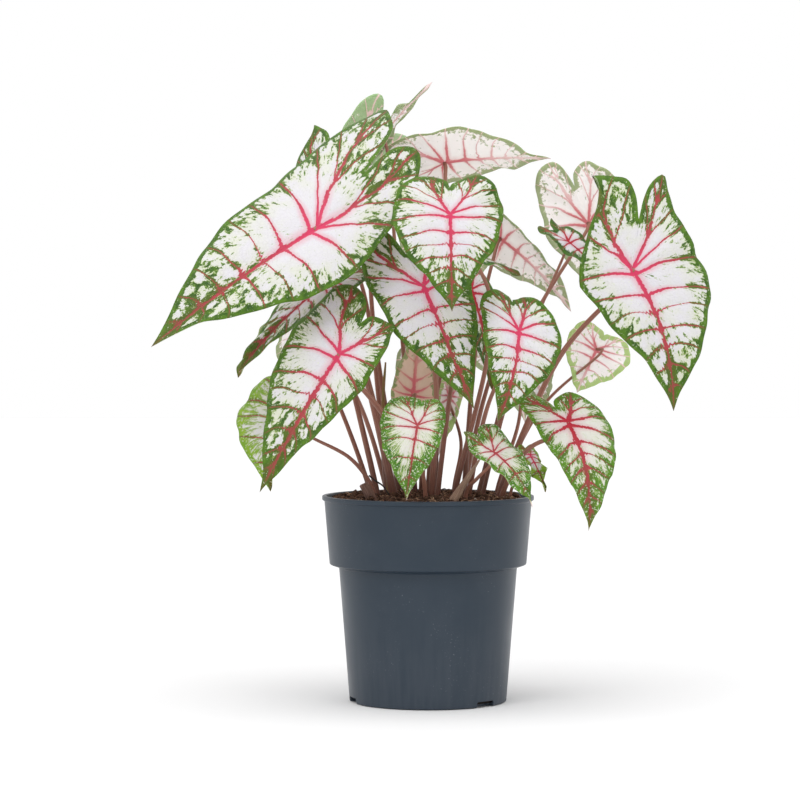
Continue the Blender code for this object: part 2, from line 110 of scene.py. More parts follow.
def with_alpha(value):
    """A plain colour gets its fourth number, and an output stays as it is."""
    return (*value, 1.0) if isinstance(value, tuple) else value


class Finish:
    """A new material with a Principled shader, and short ways to add the nodes in front of it."""

    def __init__(self, name, roughness, specular):
        self.material = bpy.data.materials.new(name)
        self.material.use_nodes = True
        self.tree = self.material.node_tree
        self.shader = self.tree.nodes["Principled BSDF"]
        self.shader.inputs["Roughness"].default_value = roughness
        self.shader.inputs["Specular IOR Level"].default_value = specular

    def node(self, kind, **settings):
        made = self.tree.nodes.new(kind)
        for key, value in settings.items():
            setattr(made, key, value)
        return made

    def put(self, socket, value):
        """Link an output to the socket, or set its plain value."""
        if isinstance(value, bpy.types.NodeSocket):
            self.tree.links.new(value, socket)
        else:
            socket.default_value = value

    def attribute(self, name, output="Fac"):
        return self.node("ShaderNodeAttribute", attribute_name=name).outputs[output]

    def place(self):
        return self.node("ShaderNodeTexCoord").outputs["Object"]

    def height(self, place):
        """How high a point lies, in metres."""
        apart = self.node("ShaderNodeSeparateXYZ")
        self.put(apart.inputs[0], place)
        return apart.outputs["Z"]

    def stretched(self, vector, scale):
        """The coordinates scaled along each axis."""
        mapping = self.node("ShaderNodeMapping")
        self.put(mapping.inputs["Vector"], vector)
        mapping.inputs["Scale"].default_value = scale
        return mapping.outputs["Vector"]

    def clouds(self, vector, scale, detail=3.0, rough=0.55, bend=0.0):
        cloud = self.node("ShaderNodeTexNoise")
        self.put(cloud.inputs["Vector"], vector)
        cloud.inputs["Scale"].default_value = scale
        cloud.inputs["Detail"].default_value = detail
        cloud.inputs["Roughness"].default_value = rough
        cloud.inputs["Distortion"].default_value = bend
        return cloud.outputs["Fac"]

    def cells(self, vector, scale):
        """The distance to the walls between irregular cells."""
        cell = self.node("ShaderNodeTexVoronoi", feature="DISTANCE_TO_EDGE")
        self.put(cell.inputs["Vector"], vector)
        cell.inputs["Scale"].default_value = scale
        return cell.outputs["Distance"]

    def reckon(self, how, a, b=0.0):
        """Two values joined by a step of arithmetic. ABSOLUTE reads only the first."""
        step = self.node("ShaderNodeMath", operation=how)
        self.put(step.inputs[0], a)
        self.put(step.inputs[1], b)
        return step.outputs[0]

    def plus(self, a, b):
        return self.reckon("ADD", a, b)

    def times(self, a, b):
        return self.reckon("MULTIPLY", a, b)

    def ramp(self, value, low, high, start=0.0, end=1.0):
        """The value stretched so that low gives start and high gives end, with soft ends."""
        span = self.node("ShaderNodeMapRange", interpolation_type="SMOOTHSTEP")
        self.put(span.inputs["Value"], value)
        span.inputs["From Min"].default_value = low
        span.inputs["From Max"].default_value = high
        span.inputs["To Min"].default_value = start
        span.inputs["To Max"].default_value = end
        return span.outputs["Result"]

    def blend(self, mask, under, over):
        """The colour over where the mask is 1, under where it is 0."""
        mix = self.node("ShaderNodeMix", data_type="RGBA")
        self.put(mix.inputs["Factor"], mask)
        self.put(mix.inputs["A"], with_alpha(under))
        self.put(mix.inputs["B"], with_alpha(over))
        return mix.outputs["Result"]

    def colour(self, value):
        self.put(self.shader.inputs["Base Color"], with_alpha(value))

    def gloss(self, value, low, high, smooth, dull):
        """Roughness from smooth to dull as the value goes from low to high."""
        self.put(self.shader.inputs["Roughness"], self.ramp(value, low, high, smooth, dull))

    def bumps(self, height, strength, depth=0.0005):
        bump = self.node("ShaderNodeBump")
        bump.inputs["Strength"].default_value = strength
        bump.inputs["Distance"].default_value = depth
        self.put(bump.inputs["Height"], height)
        self.put(self.shader.inputs["Normal"], bump.outputs["Normal"])
        return bump.outputs["Normal"]

    def let_through(self, colour, share, normal):
        """Let a share of the light through, as a leaf held against the light does."""
        thin = self.node("ShaderNodeBsdfTranslucent")
        self.put(thin.inputs["Color"], colour)
        self.put(thin.inputs["Normal"], normal)
        mix = self.node("ShaderNodeMixShader")
        mix.inputs[0].default_value = share
        self.put(mix.inputs[1], self.shader.outputs[0])
        self.put(mix.inputs[2], thin.outputs[0])
        self.put(self.tree.nodes["Material Output"].inputs["Surface"], mix.outputs[0])


print("colours gain a fourth number:", with_alpha((0.5, 0.5, 0.5)))

# %% [markdown]
# ## The leaf finishes
# The upper face of this kind of caladium is white, with coral-pink ribs that star out from the stalk
# and a green margin that breaks up into ragged flecks as it runs inwards. Numbers carried by the mesh
# steer it: how far a point is from the margin, how far it is from the nearest rib in rib widths, and
# how far out it lies from the stalk. The flecks are drawn on a second set of coordinates, opened like
# a fan round the stalk, so that they run out in strands as on the real leaf. Noise frays each border,
# so no two leaves look alike. A painted image would be quicker, but it would blur close up and repeat
# on every leaf.

# %% Colours of the upper face
WHITE = (0.64, 0.625, 0.66)
CREAM = (0.61, 0.63, 0.50)
BLUSH = (0.64, 0.30, 0.36)
THREAD = (0.40, 0.36, 0.38)
LEAF_GREEN = (0.070, 0.160, 0.010)
DARK_GREEN = (0.024, 0.074, 0.006)
PALE_GREEN = (0.24, 0.34, 0.07)
LIME_GREEN = (0.16, 0.31, 0.018)
OLIVE = (0.095, 0.115, 0.018)
ROSE = (0.58, 0.038, 0.105)
CORAL = (0.38, 0.048, 0.058)
RUST = (0.19, 0.070, 0.034)
print("the white of a blade:", WHITE, "and the green of its margin:", LEAF_GREEN)

# %% [markdown]
# The pattern is laid in coats. White comes first, then thin threads, a blush beside the ribs, a pale
# fringe, the green itself, a scatter of cream spots and last the ribs. Each coat has a mask, and each
# mask is a noise plus a bias that grows where the real leaf has more of that colour. The waves of a
# noise are counted per metre, as are the cells of a net. Ranges of out run from 0 at the stalk to 1 at
# the margin, ranges of ribs are in half widths of a rib, and ranges of edge are in millimetres.

# %% The upper face of a blade
FLECK_WAVES = 215.0
FINE_WAVES = 620.0
PATCH_WAVES = 62.0
TONE_WAVES = 150.0
THREAD_CELLS = 230.0
THREAD_STRETCH = (1.0, 1.4, 1.0)
THREAD_WIDTH = 0.035
NET_CELLS = 300.0
MARGIN_BIAS = 0.52
FLECKS_OUT = (0.46, 1.0)
FLECK_BIAS = (-0.12, 0.07)
BESIDE_RIBS = (1.2, 6.0)
BESIDE_OUT = (0.3, 0.85)
BESIDE_BIAS = 0.17
FINE_BIAS = 0.05
PATCH_BIAS = 0.06
GREEN_EDGE = (0.585, 0.625)
FRINGE_EDGE = (0.54, 0.60)
RIB_EDGE = (0.8, 1.15)
SPOT_EDGE = 0.045
SPOT_SHARE = 0.85
OLIVE_SHARE = 4.5
RUST_SHARE = 0.5
FRAY = 0.5
UPPER_GLOSS = (0.36, 0.5)
UPPER_BUMP = 0.32
UPPER_GLOW = 0.10


def upper_face(
    name, green=LEAF_GREEN, dark=DARK_GREEN, rib=ROSE, white=WHITE,
    fleck=0.0, lime=0.0, band=4.7, spots=0.635, veil=0.0, slim=1.0,
):
    """White with ribs and a ragged green margin.

    fleck adds green far out, lime brightens the margin and band widens it. A lower spots scatters more
    cream spots, veil widens the pale fringe of the green, and slim above 1 thins the ribs.
    """
    finish = Finish(name, roughness=0.42, specular=0.22)
    flat = finish.attribute("flat", "Vector")
    fan = finish.attribute("fan", "Vector")
    edge = finish.attribute("edge")
    out = finish.attribute("reach")
    ribs = finish.reckon("ABSOLUTE", finish.times(finish.attribute("rib"), slim))
    ragged = finish.clouds(fan, FLECK_WAVES, detail=5.0, rough=0.62, bend=0.5)
    fine = finish.clouds(flat, FINE_WAVES, detail=3.0, rough=0.6, bend=0.3)
    patches = finish.clouds(flat, PATCH_WAVES, detail=2.0)
    tone = finish.clouds(flat, TONE_WAVES, detail=3.0)

    # Green: solid along the margin, in flecks further in, and thicker beside the outer ribs.
    margin = finish.plus(finish.times(edge, -MARGIN_BIAS / band), MARGIN_BIAS)
    flecks = finish.ramp(out, *FLECKS_OUT, FLECK_BIAS[0], FLECK_BIAS[1] + fleck)
    bias = finish.plus(finish.reckon("MAXIMUM", margin), flecks)
    beside = finish.ramp(ribs, *BESIDE_RIBS, BESIDE_BIAS, 0.0)
    beside = finish.times(beside, finish.ramp(out, *BESIDE_OUT))
    bias = finish.plus(bias, beside)
    bias = finish.plus(bias, finish.ramp(patches, 0.34, 0.66, -PATCH_BIAS, PATCH_BIAS))
    frayed = finish.plus(ragged, finish.ramp(fine, *NOISE_SPAN, -FINE_BIAS, FINE_BIAS))
    level = finish.plus(frayed, bias)
    green_mask = finish.ramp(level, *GREEN_EDGE)
    fringe_mask = finish.ramp(level, FRINGE_EDGE[0] - veil, FRINGE_EDGE[1])
    greens = finish.blend(finish.ramp(tone, *TIGHT_SPAN), dark, green)
    greens = finish.blend(finish.ramp(edge, 0.2, 4.5, 0.25 + lime, lime), greens, LIME_GREEN)
    greens = finish.blend(finish.times(beside, OLIVE_SHARE), greens, OLIVE)

    # Ribs: frayed edges, more so further out, and a blush beside them near the stalk.
    fray = finish.ramp(fine, *NOISE_SPAN, -FRAY, FRAY)
    fray = finish.plus(fray, finish.ramp(ragged, *TIGHT_SPAN, -FRAY, FRAY))
    fray = finish.times(fray, finish.ramp(out, 0.1, 0.9, 0.35, 0.9))
    rib_mask = finish.ramp(finish.plus(ribs, fray), *RIB_EDGE, 1.0, 0.0)
    rib_mask = finish.times(rib_mask, finish.ramp(edge, 0.6, 5.0, 0.2, 1.0))
    blush_mask = finish.times(finish.ramp(ribs, 0.9, 4.5, 0.6, 0.0), finish.ramp(out, 0.2, 0.9, 1.0, 0.15))
    rib_colour = finish.blend(finish.ramp(out, 0.08, 0.8), rib, CORAL)
    rib_colour = finish.blend(finish.times(green_mask, RUST_SHARE), rib_colour, RUST)

    body = finish.blend(finish.ramp(patches, *NOISE_SPAN), white, CREAM)
    body = finish.blend(finish.ramp(out, 0.2, 0.95), white, body)
    threads = finish.cells(finish.stretched(flat, THREAD_STRETCH), THREAD_CELLS)
    body = finish.blend(finish.ramp(threads, 0.0, THREAD_WIDTH, 0.3, 0.0), body, THREAD)
    body = finish.blend(blush_mask, body, BLUSH)
    body = finish.blend(fringe_mask, body, PALE_GREEN)
    body = finish.blend(green_mask, body, greens)
    body = finish.blend(finish.ramp(fine, spots, spots + SPOT_EDGE, 0.0, SPOT_SHARE), body, CREAM)
    body = finish.blend(rib_mask, body, rib_colour)
    finish.colour(body)

    net = finish.cells(flat, NET_CELLS)
    relief = finish.plus(finish.ramp(net, 0.0, 0.12), finish.ramp(ribs, 0.0, 1.4, -1.2, 0.0))
    finish.gloss(tone, *NOISE_SPAN, *UPPER_GLOSS)
    finish.let_through(body, UPPER_GLOW, finish.bumps(relief, UPPER_BUMP))
    return finish.material


open_upper = upper_face("blade_open")
print("nodes in the upper face:", len(open_upper.node_tree.nodes))

# %% [markdown]
# The underside is duller and paler. The white reads as a warm pinkish cream, the green shows through
# as if through paper, and the ribs stand out as rose cords. The same numbers steer it. A blade glows
# when light comes from behind it, and a plain translucent shader would do that on a single sheet.
# This blade is a closed thin body, so light scattered under its skin gives most of the glow instead.

# %% The underside of a blade
UNDER_CREAM = (0.90, 0.83, 0.81)
UNDER_BEIGE = (0.60, 0.41, 0.31)
UNDER_MINT = (0.13, 0.31, 0.10)
UNDER_GREEN = (0.105, 0.195, 0.038)
UNDER_LIME = (0.20, 0.38, 0.045)
UNDER_RIB = (0.48, 0.060, 0.100)
UNDER_WAVES = 230.0
UNDER_MARGIN = 0.42
UNDER_MARGIN_FALL = 0.09
UNDER_FLECKS_OUT = (0.4, 1.0)
UNDER_FLECK_BIAS = (-0.12, 0.08)
UNDER_FRAY = 0.35
UNDER_RIB_EDGE = (0.7, 1.6)
UNDER_GREEN_EDGE = (0.54, 0.68)
UNDER_BUMP = 0.22
GLOW_SHARE = 0.6
GLOW_REACH = (1.0, 0.9, 0.8)
GLOW_DEPTH = 0.004


def under_face(name, green=UNDER_GREEN, cream=UNDER_CREAM, cover=0.0):
    """Cream with rose ribs and a muted green margin. cover adds green."""
    finish = Finish(name, roughness=0.55, specular=0.2)
    flat = finish.attribute("flat", "Vector")
    edge = finish.attribute("edge")
    out = finish.attribute("reach")
    ribs = finish.reckon("ABSOLUTE", finish.attribute("rib"))
    ragged = finish.clouds(flat, UNDER_WAVES, detail=4.0, rough=0.6, bend=0.5)
    margin = finish.plus(finish.times(edge, -UNDER_MARGIN_FALL), UNDER_MARGIN)
    flecks = finish.ramp(out, *UNDER_FLECKS_OUT, *(cover + share for share in UNDER_FLECK_BIAS))
    bias = finish.plus(finish.reckon("MAXIMUM", margin), flecks)
    green_mask = finish.ramp(finish.plus(ragged, bias), *UNDER_GREEN_EDGE, 0.0, 0.9)
    body = finish.blend(green_mask, cream, green)
    fray = finish.plus(finish.ramp(ragged, *NOISE_SPAN, -UNDER_FRAY, UNDER_FRAY), ribs)
    rib_mask = finish.ramp(fray, *UNDER_RIB_EDGE, 0.9, 0.0)
    flush = finish.times(finish.ramp(ribs, 1.0, 4.5, 0.4, 0.0), finish.ramp(out, 0.1, 0.8, 1.0, 0.2))
    body = finish.blend(flush, body, UNDER_RIB)
    rib_colour = finish.blend(finish.ramp(out, 0.3, 1.0, 0.0, 0.5), UNDER_RIB, cream)
    finish.colour(finish.blend(rib_mask, body, rib_colour))
    net = finish.cells(flat, NET_CELLS)
    relief = finish.plus(finish.ramp(net, 0.0, 0.15, 0.6, 0.0), finish.ramp(ribs, 0.0, 1.6, 1.5, 0.0))
    finish.bumps(relief, UNDER_BUMP)
    finish.shader.inputs["Subsurface Weight"].default_value = GLOW_SHARE
    finish.shader.inputs["Subsurface Radius"].default_value = GLOW_REACH
    finish.shader.inputs["Subsurface Scale"].default_value = GLOW_DEPTH
    return finish.material


open_under = under_face("blade_open_under")
print("nodes in the underside:", len(open_under.node_tree.nodes))

# %% [markdown]
# ## The tempers of the leaves
# Not all leaves of one plant look alike. The full-grown ones are white and rose. The small ones low
# down are young, with more green and thinner ribs. Some turn lime as they age and some are deep red
# along the ribs. Those inside the clump have deep red ribs and darker greens, which are painted shade
# for the shadow there. One recipe with a few settings gives them all, which keeps them a family.

# %% Leaf finishes in seven tempers
DEEP_RED = (0.42, 0.012, 0.030)
# The shade greens are painted shade: darker copies of the leaf greens, for leaves in the clump's shadow.
PAINTED_SHADE_GREEN = (0.030, 0.105, 0.014)
PAINTED_SHADE_DARK = (0.010, 0.045, 0.007)
FRESH_GREEN = (0.085, 0.220, 0.016)
FRESH_DARK = (0.035, 0.130, 0.010)
WARM_WHITE = (0.66, 0.65, 0.60)
YELLOW_LIME = (0.25, 0.39, 0.028)
FRESH = dict(green=FRESH_GREEN, dark=FRESH_DARK, white=WARM_WHITE, band=3.6)
UPPER_TEMPERS = {
    "young": dict(rib=CORAL, fleck=0.14, spots=0.56, veil=0.10, slim=1.35, **FRESH),
    "deep": dict(rib=DEEP_RED, fleck=0.08, lime=0.2, spots=0.59, veil=0.03, slim=0.85, **FRESH),
    "lime": dict(green=YELLOW_LIME, dark=LIME_GREEN, fleck=0.05, lime=0.1, spots=0.58, veil=0.06),
    "shade": dict(green=PAINTED_SHADE_GREEN, dark=PAINTED_SHADE_DARK, rib=DEEP_RED, fleck=0.08),
    "rosy": dict(rib=DEEP_RED),
    "pale": dict(),
}
UNDER_TEMPERS = {
    "young": dict(green=UNDER_LIME),
    "deep": dict(green=UNDER_LIME),
    "lime": dict(green=UNDER_LIME, cover=0.04),
    "shade": dict(),
    "rosy": dict(cream=UNDER_BEIGE, cover=-0.1),
    "pale": dict(green=UNDER_MINT, cover=0.25),
}
blade_finishes = {"open": (open_upper, open_under)}
for temper, settings in UPPER_TEMPERS.items():
    blade_finishes[temper] = (
        upper_face(f"blade_{temper}", **settings),
        under_face(f"blade_{temper}_under", **UNDER_TEMPERS[temper]),
    )
print("leaf tempers:", ", ".join(blade_finishes))

# %% [markdown]
# ## The stalk finish
# A caladium's stalk is juicy and smooth, pink-brown, with fine lengthwise streaks and a few darker
# freckles, browner near the soil. The mesh carries its own coordinates, round and along the stalk, so
# the streaks follow every bend.

# %% The stalks' skin
STALK_PINK = (0.24, 0.085, 0.062)
STALK_BROWN = (0.075, 0.027, 0.020)
STALK_PALE = (0.36, 0.19, 0.125)
STREAK_WAVES = 5.5
STREAK_STRETCH = (1.0, 1.0, 0.05)
FRECKLE_WAVES = 14.0
FRECKLE_STRETCH = (1.0, 1.0, 0.35)
STALK_GLOSS = (0.34, 0.5)
STALK_BUMP = 0.12


def stalk_skin(name):
    finish = Finish(name, roughness=0.4, specular=0.3)
    grain = finish.attribute("grain", "Vector")
    rise = finish.attribute("rise")
    streaks = finish.clouds(finish.stretched(grain, STREAK_STRETCH), STREAK_WAVES, detail=4.0)
    freckles = finish.clouds(finish.stretched(grain, FRECKLE_STRETCH), FRECKLE_WAVES, detail=2.0)
    body = finish.blend(finish.ramp(streaks, 0.35, 0.68), STALK_PINK, STALK_PALE)
    body = finish.blend(finish.ramp(rise, 0.0, 0.45, 0.75, 0.0), body, STALK_BROWN)
    body = finish.blend(finish.ramp(freckles, 0.60, 0.70, 0.0, 0.55), body, STALK_BROWN)
    finish.colour(body)
    finish.gloss(streaks, *NOISE_SPAN, *STALK_GLOSS)
    finish.bumps(streaks, STALK_BUMP)
    return finish.material


stalk_finish = stalk_skin("stalk_skin")
print("nodes in the stalk's skin:", len(stalk_finish.node_tree.nodes))

# %% [markdown]
# ## The leaf plan
# Every leaf has its own line: where the stalk meets the blade, where the tip hangs, which way the face
# looks, the two halves of the outline, the notch, and the way of the stalk from the soil. The values
# are the solid model's own, so that the finer leaf lies where the solid one does.

# %% The leaf plan, in millimetres
LEAVES = {
    "leaf_01": dict(
        at=(-87, -75, 377), tip=(-215, -112, 286), face=(-0.2, -0.85, 0.5), sag=14, back=0,
        right=(54, 108, 20), left=(64, 124, 32), notch=62, lean=-19, foot=(-24, -18), via=(-52, -30, 270),
    ),
    "leaf_02": dict(
        at=(-52, 88, 418), tip=(-74, 98, 326), face=(-0.35, 0.95, 0.15),
        right=(38, 80, 14), left=(40, 50, 14), notch=30, foot=(-20, 26), via=(-44, 44, 300),
    ),
    "leaf_03": dict(
        at=(-86, 10, 408), tip=(-116, 6, 330), face=(-0.3, -0.8, 0.5),
        right=(30, 42, 16), left=(36, 58, 32), notch=26, foot=(-30, 6), via=(-50, 26, 320), lean=-12,
    ),
    "leaf_04": dict(
        at=(-40, 46, 450), tip=(6, 60, 500), face=(-0.6, 0.5, 0.7), back=0,
        right=(13, 22, 7), left=(13, 22, 7), notch=12, foot=(-8, 20), via=(-24, 28, 330),
    ),
    "leaf_05": dict(
        at=(14, 62, 434), tip=(101, 46, 434), face=(0.05, 0.6, 0.8),
        right=(32, 38, 20), left=(40, 46, 24), notch=26, fold=22, foot=(6, 18), via=(8, 36, 320),
    ),
    "leaf_06": dict(
        at=(131, 45, 384), tip=(158, 60, 306), face=(0.3, 0.8, 0.5), sag=12, back=0,
        right=(38, 60, 14), left=(44, 52, 14), notch=34, foot=(36, 20), via=(78, 34, 290),
    ),
    "leaf_07": dict(
        at=(159, -60, 345), tip=(191, -78, 234), face=(0.1, -0.9, 0.35), sag=12, back=4, bow=8,
        right=(60, 72, 16, 0.5), left=(46, 86, 46), notch=38, lean=25, foot=(50, -8), via=(104, -14, 275),
    ),
    "leaf_08": dict(
        at=(16, -108, 387), tip=(17, -132, 311), face=(0.0, -0.8, 0.6), back=20,
        right=(43, 38, 16), left=(47, 38, 16), notch=26, foot=(16, -24), via=(50, -56, 310),
    ),
    "leaf_09": dict(
        at=(-4, -72, 332), tip=(35, -96, 236), face=(-0.1, -0.85, 0.45), back=14,
        right=(38, 54, 18), left=(40, 74, 30), notch=32, lean=-4, foot=(2, -30), via=(6, -54, 250),
    ),
    "leaf_10": dict(
        at=(-69, -95, 280), tip=(-130, -118, 173), face=(-0.2, -0.9, 0.35),
        right=(32, 46, 22), left=(48, 58, 22), notch=32, foot=(-14, -32), via=(-32, -60, 226),
    ),
    "leaf_11": dict(
        at=(-96, -44, 224), tip=(-124, -58, 170), face=(-0.3, -0.9, 0.3), bow=-10,
        right=(9, 10, 4), left=(62, 36, 24), notch=6, lean=-10, foot=(-40, -20), via=(-62, -28, 196),
    ),
    "leaf_12": dict(
        at=(-80, -16, 335), tip=(-150, -50, 264), face=(-0.3, -0.4, 0.85),
        right=(32, 32, 16), left=(32, 32, 16), notch=22, foot=(-38, -8), via=(-60, -12, 250),
    ),
    "leaf_13": dict(
        at=(-116, 52, 312), tip=(-156, 30, 258), face=(-0.8, 0.2, 0.5),
        right=(20, 24, 10), left=(20, 24, 10), notch=14, foot=(-42, 12), via=(-76, 32, 245),
    ),
    "leaf_14": dict(
        at=(69, -104, 298), tip=(51, -122, 227), face=(0.05, -0.9, 0.4), bow=4,
        right=(36, 30, 10), left=(30, 32, 8), notch=24, foot=(30, -26), via=(46, -60, 238), lean=-24,
    ),
    "leaf_15": dict(
        at=(108, -72, 227), tip=(123, -98, 142), face=(0.2, -0.9, 0.35), bow=6,
        right=(36, 24, 16), left=(27, 30, 12), notch=14, foot=(56, -24), via=(78, -50, 204), lean=-26,
    ),
    "leaf_16": dict(
        at=(-9, -98, 225), tip=(-18, -113, 167), face=(-0.05, -0.9, 0.4),
        right=(22, 25, 8), left=(31, 25, 8), notch=20, foot=(-2, -46), via=(-6, -66, 196),
    ),
    "leaf_17": dict(
        at=(50, -90, 204), tip=(79, -102, 160), face=(0.25, -0.75, 0.6), bow=4,
        right=(22, 27, 9), left=(15, 27, 10), notch=16, foot=(28, -46), via=(38, -62, 182),
    ),
    "leaf_18": dict(
        at=(-12, -34, 246), tip=(-6, -24, 306), face=(0.0, 0.85, 0.5),
        right=(19, 14, 8), left=(19, 14, 8), notch=6, foot=(-18, -6), via=(-22, -12, 205),
    ),
    "leaf_19": dict(
        at=(18, 20, 244), tip=(8, 4, 196), face=(0.2, 0.85, 0.4),
        right=(11, 16, 7), left=(11, 16, 7), notch=8, foot=(20, 12), via=(27, 28, 206),
    ),
    "leaf_20": dict(
        at=(60, 62, 372), tip=(120, 48, 312), face=(0.35, 0.6, 0.7),
        right=(32, 40, 14), left=(30, 40, 14), notch=22, foot=(28, 26), via=(40, 46, 290),
    ),
    "leaf_21": dict(
        at=(112, -4, 368), tip=(146, -14, 330), face=(0.3, -0.5, 0.8),
        right=(18, 26, 10), left=(18, 26, 10), notch=16, fold=20, foot=(40, 2), via=(72, 0, 270),
    ),
    "leaf_22": dict(
        at=(136, 14, 282), tip=(119, 2, 246), face=(0.15, 0.8, 0.5),
        right=(28, 18, 12), left=(30, 17, 12), notch=13, foot=(52, 10), via=(92, 16, 235),
    ),
    "leaf_23": dict(
        at=(34, 26, 356), tip=(76, 22, 340), face=(0.1, -0.1, 0.95),
        right=(20, 20, 12), left=(20, 20, 12), notch=12, foot=(-2, 4), via=(8, 6, 250),
    ),
    "leaf_24": dict(
        at=(34, -22, 330), tip=(52, -34, 248), face=(0.5, -0.7, 0.5),
        right=(24, 34, 14), left=(24, 34, 14), notch=18, foot=(6, -12), via=(18, -14, 250),
    ),
    "leaf_25": dict(
        at=(16, 106, 372), tip=(22, 170, 300), face=(0.05, 0.65, 0.75),
        right=(42, 50, 20), left=(42, 50, 20), notch=32, foot=(-6, 38), via=(2, 54, 290),
    ),
    "leaf_26": dict(
        at=(81, -22, 198), tip=(93, -36, 168), face=(0.5, -0.6, 0.6),
        right=(11, 11, 5), left=(11, 11, 5), notch=6, foot=(65, -13), via=(73, -16, 180),
    ),
    "leaf_27": dict(
        at=(62, 96, 292), tip=(84, 150, 216), face=(0.3, 0.65, 0.65),
        right=(40, 48, 18), left=(40, 48, 18), notch=30, foot=(28, 42), via=(44, 70, 230),
    ),
    "leaf_28": dict(
        at=(-94, 148, 302), tip=(-116, 184, 236), face=(-0.4, 0.65, 0.6),
        right=(38, 40, 18), left=(38, 40, 18), notch=26, foot=(-30, 30), via=(-56, 80, 236),
    ),
    "leaf_29": dict(
        at=(2, 88, 262), tip=(4, 124, 192), face=(0.0, 0.85, 0.45),
        right=(30, 34, 14), left=(30, 34, 14), notch=22, foot=(2, 50), via=(4, 72, 205),
    ),
    "leaf_30": dict(
        at=(82, 62, 276), tip=(98, 94, 228), face=(0.45, 0.65, 0.55),
        right=(24, 26, 12), left=(24, 26, 12), notch=18, foot=(54, 30), via=(74, 46, 220),
    ),
}
feet = [math.hypot(*leaf["foot"]) for leaf in LEAVES.values()]
print("stalks stand up to", round(max(feet)), "mm from the middle of the pot")

# %% [markdown]
# Each leaf also has a temper. Most are open and white, so only the others are listed.

# %% Which leaf has which temper
TEMPERS = {
    "leaf_02": "pale", "leaf_18": "rosy", "leaf_12": "rosy", "leaf_15": "deep",
    "leaf_11": "lime", "leaf_19": "lime", "leaf_22": "lime", "leaf_26": "lime",
    "leaf_16": "young", "leaf_17": "young",
    # The four leaves with the shade temper get painted shade: darker greens for the clump's shadow.
    "leaf_21": "shade", "leaf_23": "shade", "leaf_24": "shade", "leaf_29": "shade",
}
print("leaves in the plan:", len(LEAVES), "with open white ones:", len(LEAVES) - len(TEMPERS))

# %% [markdown]
# ## The flat outline
# A flat outline is drawn first, half by half: from the tip round the shoulder and the lobe to the
# notch. A handful of points in shares of the blade's length and width describes the kind, and a smooth
# curve through them gives each leaf its own line.

# %% The outline of half a blade
CURVE_STEPS = 16
# Along the midrib, in shares of the length before the joint and of the lobe behind it, and across it.
SHAPE_UNITS = (
    (1.00, 0.00), (0.90, 0.10), (0.72, 0.36), (0.50, 0.66),
    (0.26, 0.90), (0.02, 1.00), (-0.42, 0.98), (-0.80, 0.84),
)
LOBE_END = 0.97
SHOULDER = (0.92, 0.42)
SINUS_WIDTH = 0.14


def smooth_curve(points, count):
    """count points on a Catmull-Rom curve through these points, ends included, evenly spread."""
    dense = []
    ends = [2 * points[0] - points[1], *points, 2 * points[-1] - points[-2]]
    for k in range(1, len(ends) - 2):
        a, b, c, d = ends[k - 1 : k + 3]
        for j in range(CURVE_STEPS):
            t = j / CURVE_STEPS
            swing = (2 * a - 5 * b + 4 * c - d) * t * t + (3 * b - a - 3 * c + d) * t**3
            dense.append(0.5 * (2 * b + (c - a) * t + swing))
    dense.append(points[-1])
    reach = [0.0]
    for p, q in zip(dense, dense[1:]):
        reach.append(reach[-1] + (q - p).length)
    spread = []
    j = 0
    for k in range(count):
        goal = reach[-1] * k / (count - 1)
        while j < len(reach) - 2 and reach[j + 1] < goal:
            j += 1
        part = (goal - reach[j]) / (reach[j + 1] - reach[j])
        spread.append(dense[j].lerp(dense[j + 1], part))
    return spread


def blade_side(length, side, notch, count):
    """One side of the flat blade from the tip to the notch, as count points (along, across, 0)."""
    half_width, reach, offset, lobe = (*side, 1.0)[:4]
    shape = []
    for along, across in SHAPE_UNITS:
        if along > 0:
            shape.append(Vector((along * length, across * half_width, 0)))
        else:
            fullness = lobe + (1 - lobe) * (1 + along) ** 2
            shape.append(Vector((along * reach, across * half_width * fullness, 0)))
    shape.append(Vector((-LOBE_END * reach, 0.5 * (shape[-1].y + offset), 0)))
    shape.append(Vector((-reach, offset, 0)))
    shape.append(Vector((-SHOULDER[0] * reach, SHOULDER[1] * offset, 0)))
    shape.append(Vector((-0.5 * (reach + notch), SINUS_WIDTH * offset, 0)))
    shape.append(Vector((-notch, 0.0, 0)))
    return smooth_curve(shape, count)


first_side = blade_side(100.0, LEAVES["leaf_01"]["right"], LEAVES["leaf_01"]["notch"], 9)
print("half a blade, from tip to notch:", [(round(p.x), round(p.y)) for p in first_side])

# %% [markdown]
# ## The bent blade
# The flat blade is bent in four ways, as a real one is. Its midrib arches, its lobes tip back, its
# halves rise from the midrib and then roll down, and its margin waves. A Blender user could lay a
# plane, bend and sculpt it. A formula is used here, because thirty leaves then share one rule and each
# point of the outline lands where the solid has it.

# %% The bend of a blade
JOINT_RADIUS = 2.4
# What a leaf has where its plan doesn't say: how far it arches, tips back, folds and rolls, in degrees.
SAG = 20
BACK = 10
FOLD = 10
CURL = 34
# The margin's waves: their height, and for each its share and how many go round the blade.
RIPPLE_HEIGHT = 2.2
RIPPLES = ((1.0, 5), (0.7, 8), (0.4, 13))
RIPPLE_POWER = 2.5
RIPPLE_CALM = 0.25


def arc(length, first, last):
    """Where a path of this length ends that turns evenly from one angle to another: (level, rise)."""
    half = 0.5 * (last - first)
    reach = length * (math.sin(half) / half if abs(half) > TINY else 1.0)
    mean = 0.5 * (first + last)
    return reach * math.cos(mean), reach * math.sin(mean)


